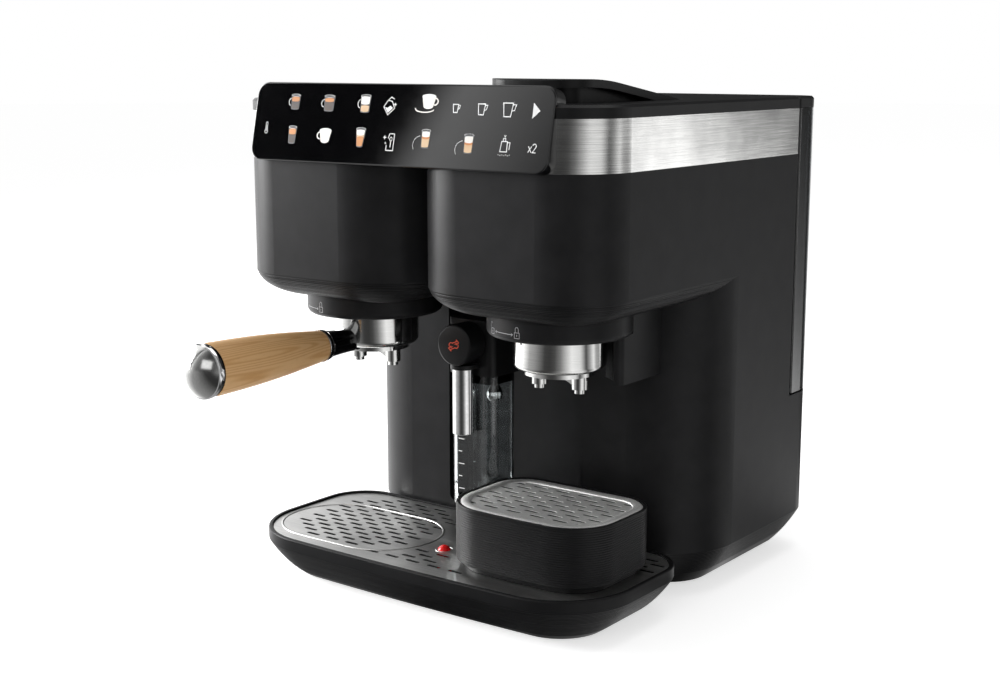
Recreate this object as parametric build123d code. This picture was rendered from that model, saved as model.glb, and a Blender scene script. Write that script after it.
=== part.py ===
"""Two-group coffee machine: espresso on the left, Turkish coffee on the right, milk unit between.

Millimetres, +Z up, -Y is the user's side, origin at the middle of the underside.
"""
from build123d import *
from math import asin, cos, degrees, pi, radians, sin, sqrt
import os

# ---- body: plan ------------------------------------------------------------
BODY_WIDTH = 301.0
GROUP_X = 80.0              # each brew group stands this far from the middle
GROUP_Y = -80.0
HEAD_FRONT_Y = -151.3
COLUMN_FRONT_Y = -22.0
TANK_FRONT_Y = 117.0
BACK_Y = 160.0
HEAD_BOW = 1.2
BARREL_GAP = 4.0            # groove between the twin barrels
GROOVE_DEPTH = 88.0
BARREL_OUTER_RADIUS = 42.0
BARREL_INNER_RADIUS = 48.0
COLUMN_FRONT_RADIUS = 55.0
BACK_RADIUS = 25.0
SHELL_WALL = 3.0

# ---- body: heights ---------------------------------------------------------
FOOT_HEIGHT = 3.0
SKIRT_TOP_Z = 31.0
TANK_SHELF_Z = 123.0
COLLAR_Z = 191.0
CHIN_FLOOR_Z = 204.0
CREASE_Z = 222.0
BAND_BOTTOM_Z = 300.6
BAND_HEIGHT = 32.4
BAND_TOP_Z = BAND_BOTTOM_Z + BAND_HEIGHT
DECK_RISE = 8.0             # how far the deck stands above the band
DECK_Z = BAND_TOP_Z + DECK_RISE
DECK_THICKNESS = 3.0
DECK_EDGE = 1.6

# ---- ribbed curves ---------------------------------------------------------
CHIN_INSET = 34.0
CHIN_ARC = (5.5, 77.0)      # each curved moulding follows an arc between two angles, in degrees
CHIN_ROOM_INSET = 26.0
CHIN_BACK_Y = 33.6
CHIN_RIBS = 5
SKIRT_INSET = 21.5
SKIRT_ARC = (42.0, 60.0)
SKIRT_RIBS = 6
RIB_STEP = 0.6              # how far each rib's lower edge draws in

# ---- base ------------------------------------------------------------------
BASE_PLATE = 3.0
TONGUE_WIDTH = 190.0
TONGUE_FRONT_Y = -124.0
TONGUE_RADIUS = 12.0
FOOT_RADIUS = 9.0
FOOT_CHAMFER = 0.6
FOOT_INSET = 66.5           # from the side wall to a foot's centre
FOOT_X = BODY_WIDTH / 2 - FOOT_INSET
FOOT_YS = (-108.0, 124.0)
SCREW_RADIUS = 1.6
SCREW_HEAD_RADIUS = 3.4
SCREW_HEAD_HEIGHT = 1.3
SCREW_LENGTH = 12.0
SCREW_CLEARANCE = 0.2
BOSS_RADIUS = 5.0
BOSS_HEIGHT = 16.0
BOSS_INSET = 46.5
BOSS_X = BODY_WIDTH / 2 - BOSS_INSET
BOSS_YS = (22.0, 118.0)

# ---- steel band and top ----------------------------------------------------
BAND_SHEET = 1.2
COVER_WALL = 3.0
PANEL_WIDTH = 245.6
PANEL_HEIGHT = 52.5
PANEL_TILT = 12.4
PANEL_BOTTOM_Y = -157.8
PANEL_BOTTOM_Z = BAND_BOTTOM_Z + 0.6
PANEL_THICKNESS = 10.5
PANEL_RADIUS = 9.0
GLASS_THICKNESS = 1.6
PANEL_POCKET = 6.0
PANEL_RIM = 5.0
BOARD_THICKNESS = 1.6
BOARD_MARGIN = 4.0
SEAT_GAP = 0.3              # between bodies that only rest on each other

# ---- lid over the right barrel ---------------------------------------------
LID_WIDTH = 72.0
LID_FRONT_Y = -122.0
LID_BACK_Y = 8.0
LID_RISE = 14.5             # how far the lid's front stands above the deck
LID_THICKNESS = 5.0
LID_RADIUS = 24.0
LID_BACK_RADIUS = 2.0
LID_BOW = 4.0
WELL_MARGIN = 2.0
WELL_DEPTH = 14.0
WELL_WALL = 2.0
LID_ARC_SHARE = 0.55        # the lid's arched front is this share of its length
LID_SKIRT_INSET = 9.0
LID_SKIRT_WALL = 2.0
LID_PIN_RADIUS = 1.2
LID_PIN_DROP = 2.4
LID_PIN_BACK = 2.6          # the pin's axis lies this far in front of the lid's back edge
EAR_RADIUS = 2.4
EAR_WIDTH = 5.0
EAR_X = 21.0
PIN_FIT = 0.05

# ---- brew groups -----------------------------------------------------------
COLLAR_RADIUS = 48.0
COLLAR_EDGE = 4.0
COLLAR_LIP = 5.0
CUP_RADIUS = 31.0
CUP_WALL = 1.6
CUP_BOTTOM_Z = 168.3
CUP_EDGE = 4.0
CUP_CLEARANCE = 0.6
LUG_REACH = 5.5
LUG_HEIGHT = 4.6
LUG_LIFT = 1.0
LUG_ANGLE = 26.0
UNLOCK_ANGLE = 45.0
FILTER_RIM = 0.8
FILTER_WALL = 0.7
FILTER_CLEARANCE = 0.7
FILTER_DEPTH = 25.0
FILTER_RINGS = 2
FILTER_RING_STEP = 6.5
FIRST_RING_HOLES = 3
FILTER_HOLE_RADIUS = 1.0
GASKET_HEIGHT = 4.5
GASKET_INNER_RADIUS = 27.0
GASKET_RADIUS = 32.0
SCREEN_THICKNESS = 1.2
SCREEN_RADIUS = 26.4
SCREEN_DROP = 2.5
HEAD_BORE_RADIUS = 33.0
GROUP_FLANGE_RADIUS = 42.0
GROUP_FLANGE = 3.0
BOILER_RADIUS = 34.0
BOILER_HEIGHT = 46.0
HEATER_RING = 8.0

# ---- spouts ----------------------------------------------------------------
NOZZLE_SPACING = 32.0
SPOUT_BARREL_RADIUS = 5.4
SPOUT_BARREL_HEIGHT = 9.0
NOZZLE_RADIUS = 3.6
NOZZLE_HEIGHT = 2.8
NOZZLE_BORE = 2.2
SPOUT_WEB = 8.0
SPOUT_BASE_RADIUS = 24.0
SPOUT_BASE_HEIGHT = 3.5
SPOUT_WEB_THICKNESS = 2.4

# ---- handle ----------------------------------------------------------------
HANDLE_Z = 173.2
NECK_ROOT_RADIUS = 8.5
NECK_END_RADIUS = 10.8
NECK_END = 59.0             # distances along the handle from the group's axis
GRIP_END = 162.0
GRIP_END_RADIUS = 17.6
GRIP_SWELL = 1.4
RING_LENGTH = 2.0
RING_STEP = 0.6
CAP_RIM_LENGTH = 5.0
CAP_DOME_HEIGHT = 7.0
TANG_RADIUS = 4.0
TANG_REACH = 60.0

# ---- guide block beside the right group --------------------------------------
FIN_INSET = 31.5
FIN_X = BODY_WIDTH / 2 - FIN_INSET
FIN_THICKNESS = 24.0
FIN_FRONT_Y = -67.0
FIN_BOTTOM_Z = 158.0
FIN_INNER_RADIUS = 3.0
FIN_OUTER_RADIUS = 5.0
FIN_CLEARANCE = 5.0         # round the cup

# ---- recess and milk unit --------------------------------------------------
RECESS_WIDTH = 122.0
RECESS_BOTTOM_Z = 38.0
RECESS_TOP_Z = 194.0
RECESS_DEPTH = 22.0
RECESS_RADIUS = 5.0
LINER_WALL = 2.0
JAR_WIDTH = 38.0
JAR_FRONT_Y = -72.0
JAR_DEPTH = 30.0
JAR_BOTTOM_Z = 57.0
JAR_TOP_Z = 152.0
JAR_WALL = 2.0
JAR_RADIUS = 7.0
MILK_HEAD_TOP_Z = 191.0
MILK_HEAD_BACK_Y = -14.0
MILK_PLUG_DEPTH = 6.0
SEAL_WALL = 1.0
KNOB_Z = 175.5
KNOB_RADIUS = 14.3
KNOB_FRONT_Y = -91.0
KNOB_LENGTH = 17.0
KNOB_EDGE = 1.2
KNOB_SHAFT_RADIUS = 4.0
KNOB_SHAFT_LENGTH = 14.0
SPOUT_TUBE_RADIUS = 7.5
SPOUT_TUBE_WALL = 0.8
SPOUT_TUBE_Y = -80.4
SPOUT_TUBE_BOTTOM_Z = 112.0
SPOUT_ARM_BOTTOM_Z = 158.0
SPOUT_ARM_WALL = 1.4
SPIGOT_RADIUS = 6.0
SPIGOT_LENGTH = 12.0
SOCKET_RADIUS = 10.0
SOCKET_LENGTH = 9.0
STEAM_STEM_RADIUS = 1.3
STEAM_TIP_RADIUS = 6.0
STEAM_TIP_LENGTH = 15.0
STEAM_TIP_TAPER_START = 20.0   # degrees above the belly
STEAM_TIP_Z = 131.0
STEAM_X = 9.0
JAR_LEDGE_INSET = 2.0
JAR_LEDGE_WALL = 2.4

# ---- water tank ------------------------------------------------------------
TANK_WALL = 2.5
TANK_FRONT_RADIUS = 4.0
TANK_EDGE = 1.2
TANK_LID_PLUG = 5.0
VALVE_RADIUS = 8.0
VALVE_HEIGHT = 14.0
VALVE_SEAT_RADIUS = 13.0
VALVE_SEAT_DEPTH = 10.0
VALVE_X = -60.0

# ---- drip tray -------------------------------------------------------------
TRAY_FRONT_Y = -157.0
TRAY_BOW = 4.0
TRAY_FRONT_RADIUS = 56.0
TRAY_BACK_RADIUS = 33.0
TRAY_TOP_Z = 35.4
TRAY_LIP = 8.4
TRAY_BOTTOM_Z = 1.6
TRAY_INSET = 24.0
TRAY_ARC = (52.6, 72.3)
TRAY_RIBS = 6
TRAY_FLOOR = 3.0
TRAY_WALL = 3.2
TRAY_LEDGE = 2.6
PLATE_THICKNESS = 1.2
PLATE_DROP = 1.4            # the steel plate lies this far below the lip
SLOT_LENGTH = 11.6
SLOT_WIDTH = 2.1
SLOT_PITCH_X = 18.3
SLOT_PITCH_Y = 7.05
CUP_FIELD_X = -78.2         # the slots under the left group fill a circle
CUP_FIELD_Y = -82.4
CUP_FIELD_RADIUS = 53.8
FRONT_FIELD_Y = -122.2      # a few more lie at the middle of the front edge
FRONT_ROW_WIDTH = 84.0
FRONT_FIELD_WIDTH = 24.0
FLOAT_X = 1.0
FLOAT_Y = -104.0
FLOAT_RADIUS = 5.0
FLOAT_TIP = 3.2
FLOAT_DISC_RADIUS = 9.0
FLOAT_DISC_HEIGHT = 5.0

# ---- raised cup stand ------------------------------------------------------
STAND_WIDTH = 120.8
STAND_FRONT_Y = -137.0
STAND_BACK_Y = -47.0
STAND_FRONT_RADIUS = 34.0
STAND_BACK_RADIUS = 26.0
STAND_BOW = 3.0
STAND_TOP_Z = 79.0
STAND_WALL = 2.4
STAND_LEDGE = 2.2
STAND_FOOT_HEIGHT = 5.0
STAND_FOOT_INSET = 6.0
STAND_RIBS = 7
STAND_FIELD_Y = -104.3
STAND_FIELD_WIDTH = 94.0
STAND_FIELD_MARGIN = 11.0   # plain border round the stand's slots
DRAIN_RADIUS = 2.2
DRAIN_PITCH = 16.0
DRAIN_Y = -128.0

# ---- inside the column -----------------------------------------------------
PUMP_RADIUS = 12.0
PUMP_LENGTH = 56.0
PUMP_COIL_RADIUS = 17.0
PUMP_COIL_LENGTH = 34.0
CRADLE_HEIGHT = 5.0
POWER_BOARD_WIDTH = 96.0
POWER_BOARD_HEIGHT = 58.0
POWER_BOARD_Z = 48.0
TRANSFORMER_SIZE = 28.0
STANDOFF_LENGTH = 14.0
STANDOFF_RADIUS = 3.0
HOSE_RADIUS = 3.5
HOSE_BORE = 1.8
NIPPLE_LENGTH = 8.0
GLAND_INSET = 46.5
GLAND_X = BODY_WIDTH / 2 - GLAND_INSET
BOARD_FROM_GLAND = 26.0     # the power board's centre stays this far inside the gland
POWER_BOARD_X = GLAND_X - BOARD_FROM_GLAND
GLAND_Z = 48.0
GLAND_RADIUS = 8.0
GLAND_BORE = 3.6
GLAND_FLANGE = 1.5
VENT_COUNT = 9
VENT_PITCH = 8.0
VENT_WIDTH = 3.0
VENT_HEIGHT = 34.0

HALF_WIDTH = BODY_WIDTH / 2
SIDES = {"left": -1, "right": 1}


# ---- helpers ---------------------------------------------------------------
def plan(x0, x1, y0, y1, front_radii, back_radii, bow=0.0):
    """A plan outline with four rounded corners; its front edge may be bowed outwards."""
    front_left = (x0, y0 + bow)
    front_right = (x1, y0 + bow)
    if bow > 0:
        front = ThreePointArc(front_left, ((x0 + x1) / 2, y0), front_right)
    else:
        front = Line(front_left, front_right)
    right = Line(front_right, (x1, y1))
    back = Line((x1, y1), (x0, y1))
    left = Line((x0, y1), front_left)
    face = Sketch() + make_face([front, right, back, left])
    corners = [(front_left, front_radii[0]), (front_right, front_radii[1]),
               ((x1, y1), back_radii[1]), ((x0, y1), back_radii[0])]
    for point, radius in corners:
        if radius > 0:
            vertex = face.vertices().sort_by_distance(Vector(point[0], point[1], 0))[0]
            face = fillet(vertex, radius)
    return face


def prism(face, z0, z1):
    """The plan face extruded from z0 up to z1."""
    return extrude(Pos(0, 0, z0) * face, amount=z1 - z0, dir=(0, 0, 1))


def block(x0, x1, y0, y1, z0, z1):
    """A box given by its limits."""
    centre = ((x0 + x1) / 2, (y0 + y1) / 2, (z0 + z1) / 2)
    return Pos(*centre) * Box(x1 - x0, y1 - y0, z1 - z0)


def rod(x, y, z0, z1, radius):
    """An upright cylinder."""
    return Pos(x, y, (z0 + z1) / 2) * Cylinder(radius, z1 - z0)


def rod_y(x, z, y0, y1, radius):
    """A cylinder along Y."""
    return Pos(x, (y0 + y1) / 2, z) * Rot(90, 0, 0) * Cylinder(radius, y1 - y0)


def rod_x(y, z, x0, x1, radius):
    """A cylinder along X."""
    return Pos((x0 + x1) / 2, y, z) * Rot(0, 90, 0) * Cylinder(radius, x1 - x0)


def turned(points, x, y):
    """A solid turned about the upright axis at x, y from (radius, z) points."""
    outline = make_face(Polyline([(r, 0, z) for r, z in points], close=True))
    return Pos(x, y, 0) * revolve(outline, Axis.Z)


def arc_points(centre_r, centre_z, radius, start, end, steps):
    """Points for a turned profile, round an arc from one angle to another, in degrees."""
    turns = [radians(start + (end - start) * i / steps) for i in range(steps + 1)]
    return [(centre_r + radius * cos(t), centre_z + radius * sin(t)) for t in turns]


def curve_inset(depth_share, arc):
    """How far in an arc between two angles has come at this share of its depth, from 0 to 1."""
    start, end = [radians(angle) for angle in arc]
    angle = asin(sin(start) + depth_share * (sin(end) - sin(start)))
    return (cos(start) - cos(angle)) / (cos(start) - cos(end))


def ribbed_curve(outline, z_top, z_bottom, inset, ribs, arc):
    """A stack of ribs that curves in from z_top down to z_bottom; outline(inset) gives the plan."""
    start, end = [radians(angle) for angle in arc]
    shares = [(sin(start + (end - start) * i / ribs) - sin(start)) / (sin(end) - sin(start))
              for i in range(ribs + 1)]
    solid = None
    for high, low in zip(shares, shares[1:]):
        high_face = Pos(0, 0, z_top + (z_bottom - z_top) * high) * outline(inset * curve_inset(high, arc))
        low_inset = inset * curve_inset(low, arc) + RIB_STEP
        low_face = Pos(0, 0, z_top + (z_bottom - z_top) * low) * outline(low_inset)
        rib = loft([low_face, high_face], ruled=True)
        solid = rib if solid is None else solid + rib
    return solid


# ---- plans -----------------------------------------------------------------
def barrel_plan(side, inset, back_y):
    """One of the twin barrels, from its bowed front to back_y."""
    inner = BARREL_GAP / 2 + inset
    outer = HALF_WIDTH - inset
    inner_radius = max(BARREL_INNER_RADIUS - inset, 2.0)
    outer_radius = max(BARREL_OUTER_RADIUS - inset, 2.0)
    x0, x1 = (inner, outer) if side > 0 else (-outer, -inner)
    radii = (inner_radius, outer_radius) if side > 0 else (outer_radius, inner_radius)
    return plan(x0, x1, HEAD_FRONT_Y + inset, back_y, radii, (0, 0), HEAD_BOW)


def head_plan(inset):
    """Both barrels and the body behind their groove."""
    back = TANK_FRONT_Y - inset
    groove_end = HEAD_FRONT_Y + GROOVE_DEPTH + inset
    middle = BARREL_GAP / 2 + inset + BARREL_OUTER_RADIUS
    bridge = plan(-middle, middle, groove_end, back, (0, 0), (0, 0))
    return barrel_plan(-1, inset, back) + barrel_plan(1, inset, back) + bridge


def band_plan(inset):
    """The outline that the steel band follows, without the groove."""
    radius = BARREL_OUTER_RADIUS - inset
    return plan(-HALF_WIDTH + inset, HALF_WIDTH - inset, HEAD_FRONT_Y + inset, TANK_FRONT_Y,
                (radius, radius), (0, 0), HEAD_BOW)


def column_plan(inset, back_y=BACK_Y, back_radius=BACK_RADIUS):
    """The foot of the machine; its sides run flush into the head's sides."""
    front = max(COLUMN_FRONT_RADIUS - inset, 2.0)
    back = max(back_radius - inset, 0)
    return plan(-HALF_WIDTH + inset, HALF_WIDTH - inset, COLUMN_FRONT_Y + inset, back_y - inset,
                (front, front), (back, back))


def tray_plan(inset):
    """The drip tray's outline."""
    front = TRAY_FRONT_RADIUS - inset
    back = max(TRAY_BACK_RADIUS - inset, 2.0)
    tray_back = COLUMN_FRONT_Y - SEAT_GAP
    return plan(-HALF_WIDTH + inset, HALF_WIDTH - inset, TRAY_FRONT_Y + inset, tray_back - inset,
                (front, front), (back, back), TRAY_BOW)


def stand_plan(inset):
    """The raised cup stand's outline."""
    half = STAND_WIDTH / 2 - inset
    front = STAND_FRONT_RADIUS - inset
    back = STAND_BACK_RADIUS - inset
    return plan(GROUP_X - half, GROUP_X + half, STAND_FRONT_Y + inset, STAND_BACK_Y - inset,
                (front, front), (back, back), STAND_BOW)


def tank_plan(inset):
    """The water tank's outline, flush with the machine's sides and back."""
    half = HALF_WIDTH - inset
    front = max(TANK_FRONT_RADIUS - inset, 0.5)
    back = BACK_RADIUS - inset
    return plan(-half, half, TANK_FRONT_Y + SEAT_GAP + inset, BACK_Y - inset, (front, front), (back, back))


# ---- base ------------------------------------------------------------------
def screw_places():
    return [(sx * BOSS_X, y) for sx in (-1, 1) for y in BOSS_YS]


def base_skirt():
    """The ribbed foot of the column, with the bosses that the base plate is screwed to."""
    ring = ribbed_curve(column_plan, SKIRT_TOP_Z, FOOT_HEIGHT, SKIRT_INSET, SKIRT_RIBS, SKIRT_ARC)
    inside = prism(column_plan(SKIRT_INSET + SHELL_WALL), FOOT_HEIGHT, SKIRT_TOP_Z)
    ring = ring - inside
    plate_top = FOOT_HEIGHT + BASE_PLATE
    for x, y in screw_places():
        boss = rod(x, y, plate_top, plate_top + BOSS_HEIGHT, BOSS_RADIUS)
        arm = block(*sorted((x, x + (1 if x > 0 else -1) * (HALF_WIDTH - SKIRT_INSET - abs(x)))),
                    y - BOSS_RADIUS / 2, y + BOSS_RADIUS / 2, plate_top, plate_top + BOSS_HEIGHT)
        ring = ring + boss + arm
    for x, y in screw_places():
        ring = ring - rod(x, y, plate_top, plate_top + SCREW_LENGTH, SCREW_RADIUS + SCREW_CLEARANCE)
    front_gap = block(-TONGUE_WIDTH / 2, TONGUE_WIDTH / 2, COLUMN_FRONT_Y, COLUMN_FRONT_Y + SKIRT_INSET * 2,
                      FOOT_HEIGHT, FOOT_HEIGHT + BASE_PLATE)
    return ring - front_gap


def base_plate():
    """The bottom plate, with the tongue that the drip tray slides on."""
    top = FOOT_HEIGHT + BASE_PLATE
    plate = prism(column_plan(SKIRT_INSET + SHELL_WALL), FOOT_HEIGHT, top)
    tongue = plan(-TONGUE_WIDTH / 2, TONGUE_WIDTH / 2, TONGUE_FRONT_Y, COLUMN_FRONT_Y + SKIRT_INSET * 2,
                  (TONGUE_RADIUS, TONGUE_RADIUS), (0, 0))
    plate = plate + prism(tongue, FOOT_HEIGHT, top)
    for x, y in screw_places():
        plate = plate - rod(x, y, FOOT_HEIGHT, top, SCREW_RADIUS + SCREW_CLEARANCE)
    return plate


def base_screws():
    """Four pan-head screws from below, one solid each."""
    screws = []
    for x, y in screw_places():
        head = rod(x, y, FOOT_HEIGHT - SCREW_HEAD_HEIGHT, FOOT_HEIGHT, SCREW_HEAD_RADIUS)
        shank = rod(x, y, FOOT_HEIGHT, FOOT_HEIGHT + SCREW_LENGTH, SCREW_RADIUS)
        slot = block(x - SCREW_HEAD_RADIUS, x + SCREW_HEAD_RADIUS, y - 0.4, y + 0.4,
                     FOOT_HEIGHT - SCREW_HEAD_HEIGHT, FOOT_HEIGHT - SCREW_HEAD_HEIGHT / 2)
        screws.append(head + shank - slot)
    return Compound(children=screws)


def rubber_feet():
    """Round feet under the corners of the base plate and one under its middle."""
    feet = []
    for x, y in [(0, 0)] + [(x, y) for x in (-FOOT_X, FOOT_X) for y in FOOT_YS]:
        foot = rod(x, y, 0, FOOT_HEIGHT, FOOT_RADIUS)
        feet.append(chamfer(foot.edges().group_by(Axis.Z)[0], FOOT_CHAMFER))
    return Compound(children=feet)


# ---- column ----------------------------------------------------------------
def column_shell():
    """The moulded column: open above, with the tank shelf behind and the recess in front."""
    shelf = TANK_SHELF_Z
    low = prism(column_plan(0), SKIRT_TOP_Z, shelf)
    high = prism(column_plan(0, TANK_FRONT_Y, 0), shelf, CREASE_Z)
    low_room = prism(column_plan(SHELL_WALL), SKIRT_TOP_Z, shelf - SHELL_WALL)
    high_room = prism(column_plan(SHELL_WALL, TANK_FRONT_Y, 0), shelf - SHELL_WALL, CREASE_Z)
    shell = low + high - low_room - high_room
    shell = shell - block(-RECESS_WIDTH / 2, RECESS_WIDTH / 2, COLUMN_FRONT_Y, COLUMN_FRONT_Y + SHELL_WALL,
                          RECESS_BOTTOM_Z, RECESS_TOP_Z)
    shell = shell - rod(VALVE_X, (TANK_FRONT_Y + BACK_Y) / 2, shelf - SHELL_WALL, shelf, VALVE_SEAT_RADIUS)
    shell = shell - rod_y(GLAND_X, GLAND_Z, BACK_Y - SHELL_WALL, BACK_Y, GLAND_RADIUS)
    vents = None
    for i in range(VENT_COUNT):
        x = (i - (VENT_COUNT - 1) / 2) * VENT_PITCH
        z = (SKIRT_TOP_Z + shelf) / 2
        vent = block(x - VENT_WIDTH / 2, x + VENT_WIDTH / 2, BACK_Y - SHELL_WALL, BACK_Y,
                     z - VENT_HEIGHT / 2, z + VENT_HEIGHT / 2)
        vents = vent if vents is None else vents + vent
    return shell - vents


def recess_liner():
    """The black tub that lines the recess behind the milk unit."""
    back = COLUMN_FRONT_Y + RECESS_DEPTH
    half = RECESS_WIDTH / 2
    outer = block(-half, half, COLUMN_FRONT_Y, back + LINER_WALL, RECESS_BOTTOM_Z, RECESS_TOP_Z)
    inner = block(-half + LINER_WALL, half - LINER_WALL, COLUMN_FRONT_Y, back,
                  RECESS_BOTTOM_Z + LINER_WALL, RECESS_TOP_Z - LINER_WALL)
    inner = fillet(inner.edges().filter_by(Axis.Y), RECESS_RADIUS)
    half_ledge = JAR_WIDTH / 2 - JAR_LEDGE_INSET
    ledge_front = JAR_FRONT_Y + JAR_LEDGE_INSET
    top = JAR_BOTTOM_Z - SEAT_GAP
    face = plan(-half_ledge, half_ledge, ledge_front, back, (JAR_RADIUS, JAR_RADIUS), (0, 0))
    inner_radius = JAR_RADIUS - JAR_LEDGE_WALL
    room = plan(-half_ledge + JAR_LEDGE_WALL, half_ledge - JAR_LEDGE_WALL, ledge_front + JAR_LEDGE_WALL,
                COLUMN_FRONT_Y, (inner_radius, inner_radius), (0, 0))
    ledge = prism(face, RECESS_BOTTOM_Z, top) - prism(room, RECESS_BOTTOM_Z, top - JAR_LEDGE_WALL)
    liner = outer - inner + ledge
    return liner - rod_y(0, KNOB_Z, back, back + LINER_WALL, SPIGOT_RADIUS)


def guide_fin():
    """The guide beside the right cup, below the chin: its inner side is scooped round the cup."""
    face = plan(FIN_X - FIN_THICKNESS, FIN_X, FIN_FRONT_Y, COLUMN_FRONT_Y + COLUMN_FRONT_RADIUS,
                (FIN_INNER_RADIUS, FIN_OUTER_RADIUS), (0, 0))
    fin = prism(face, FIN_BOTTOM_Z, CHIN_FLOOR_Z)
    fin = fin - prism(column_plan(0), FIN_BOTTOM_Z, CHIN_FLOOR_Z)
    fin = fin - rod(GROUP_X, GROUP_Y, FIN_BOTTOM_Z, COLLAR_Z, CUP_RADIUS + FIN_CLEARANCE)
    return fin - rod(GROUP_X, GROUP_Y, COLLAR_Z, CHIN_FLOOR_Z, COLLAR_RADIUS)


# ---- head ------------------------------------------------------------------
def head_shell():
    """The moulded twin-barrel head between the crease and the steel band."""
    solid = prism(head_plan(0), CREASE_Z, BAND_BOTTOM_Z)
    return solid - prism(head_plan(SHELL_WALL), CREASE_Z, BAND_BOTTOM_Z) - panel_room()


def chin(side):
    """The ribbed underside of one barrel, from the crease in to the collar."""
    def outline(inset):
        return barrel_plan(side, inset, CHIN_BACK_Y)

    solid = ribbed_curve(outline, CREASE_Z, CHIN_FLOOR_Z, CHIN_INSET, CHIN_RIBS, CHIN_ARC)
    solid = solid - prism(column_plan(0), CHIN_FLOOR_Z, CREASE_Z)
    solid = solid + rod(side * GROUP_X, GROUP_Y, CHIN_FLOOR_Z, CHIN_FLOOR_Z + SHELL_WALL, COLLAR_RADIUS)
    room = barrel_plan(side, CHIN_ROOM_INSET, COLUMN_FRONT_Y - SHELL_WALL)
    solid = solid - prism(room, CHIN_FLOOR_Z + SHELL_WALL, CREASE_Z)
    return solid - rod(side * GROUP_X, GROUP_Y, CHIN_FLOOR_Z, CREASE_Z, HEAD_BORE_RADIUS)


def panel_face(shrink):
    """The control panel's rounded outline, in its own plane."""
    radius = max(PANEL_RADIUS - shrink, 1.5)
    return RectangleRounded(PANEL_WIDTH - 2 * shrink, PANEL_HEIGHT - 2 * shrink, radius)


def panel_place(depth):
    """The panel's own plane, this far behind the front of the glass."""
    tilt = radians(PANEL_TILT)
    up = Vector(0, sin(tilt), cos(tilt))
    out = Vector(0, -cos(tilt), sin(tilt))
    middle = Vector(0, PANEL_BOTTOM_Y, PANEL_BOTTOM_Z) + up * (PANEL_HEIGHT / 2) - out * depth
    return Plane(origin=middle, x_dir=(1, 0, 0), z_dir=out)


def panel_slab(near, far, shrink):
    """A slab with the panel's outline between two depths behind the glass front."""
    return extrude(panel_place(far) * panel_face(shrink), amount=far - near)


def panel_housing():
    """The panel's moulded back, with a pocket for its circuit board."""
    solid = panel_slab(GLASS_THICKNESS, PANEL_THICKNESS, 0)
    return solid - panel_slab(GLASS_THICKNESS, GLASS_THICKNESS + PANEL_POCKET, PANEL_RIM)


def panel_glass():
    """The gloss-black touch glass."""
    return panel_slab(0, GLASS_THICKNESS, 0)


def control_board():
    """The touch panel's circuit board on the floor of its pocket."""
    floor = GLASS_THICKNESS + PANEL_POCKET
    return panel_slab(floor - BOARD_THICKNESS, floor, PANEL_RIM + BOARD_MARGIN)


def panel_room():
    """The notch that the panel sits in, and everything in front of it."""
    return panel_slab(-PANEL_THICKNESS * 2, PANEL_THICKNESS, 0)


def steel_band():
    """The brushed sheet wrapped round the sides and front corners."""
    band = prism(band_plan(0), BAND_BOTTOM_Z, BAND_TOP_Z)
    band = band - prism(band_plan(BAND_SHEET), BAND_BOTTOM_Z, BAND_TOP_Z) - panel_room()
    half = PANEL_WIDTH / 2 - PANEL_RADIUS
    return band - block(-half, half, HEAD_FRONT_Y - PANEL_THICKNESS, HEAD_FRONT_Y + BARREL_OUTER_RADIUS / 2,
                        BAND_BOTTOM_Z, BAND_TOP_Z)


def lid_outline(grow):
    """The lid's plan over the right barrel."""
    half = LID_WIDTH / 2 + grow
    radius = LID_RADIUS + grow
    back = max(LID_BACK_RADIUS + grow, 0.5)
    return plan(GROUP_X - half, GROUP_X + half, LID_FRONT_Y - grow, LID_BACK_Y + grow,
                (radius, radius), (back, back), LID_BOW)


def top_cover():
    """The black top: a wall behind the band, the rim above it, the deck and the well of the lid."""
    wall = prism(band_plan(BAND_SHEET), BAND_BOTTOM_Z, BAND_TOP_Z)
    rim = prism(band_plan(0), BAND_TOP_Z, DECK_Z)
    rim_edges = rim.edges().group_by(Axis.Z)[-1].filter_by(lambda e: e.center().Y < TANK_FRONT_Y - DECK_EDGE)
    rim = chamfer(rim_edges, DECK_EDGE)
    inside = prism(band_plan(BAND_SHEET + COVER_WALL) - block_face(TANK_FRONT_Y - COVER_WALL), BAND_BOTTOM_Z,
                   DECK_Z - DECK_THICKNESS)
    cover = wall + rim - inside
    groove_web = block(-BARREL_INNER_RADIUS, BARREL_INNER_RADIUS, HEAD_FRONT_Y + BAND_SHEET,
                       HEAD_FRONT_Y + GROOVE_DEPTH + SHELL_WALL, BAND_BOTTOM_Z, BAND_BOTTOM_Z + COVER_WALL)
    groove_web = groove_web & prism(band_plan(BAND_SHEET), BAND_BOTTOM_Z, BAND_TOP_Z)
    cover = cover + groove_web
    floor = DECK_Z - WELL_DEPTH
    tub = prism(lid_outline(WELL_MARGIN + WELL_WALL), floor - WELL_WALL, DECK_Z - DECK_THICKNESS)
    cover = cover + (tub & prism(band_plan(BAND_SHEET), BAND_BOTTOM_Z, DECK_Z))
    cover = cover - prism(lid_outline(WELL_MARGIN), floor, DECK_Z)
    cover = cover + lid_ears()
    return cover - panel_room()


def block_face(y_from):
    """A plan rectangle that covers everything behind y_from."""
    return plan(-BODY_WIDTH, BODY_WIDTH, y_from, BACK_Y, (0, 0), (0, 0))


def lid_axis():
    """Where the lid's hinge pin lies: (y, z)."""
    return LID_BACK_Y - LID_PIN_BACK, DECK_Z - LID_PIN_DROP


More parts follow.
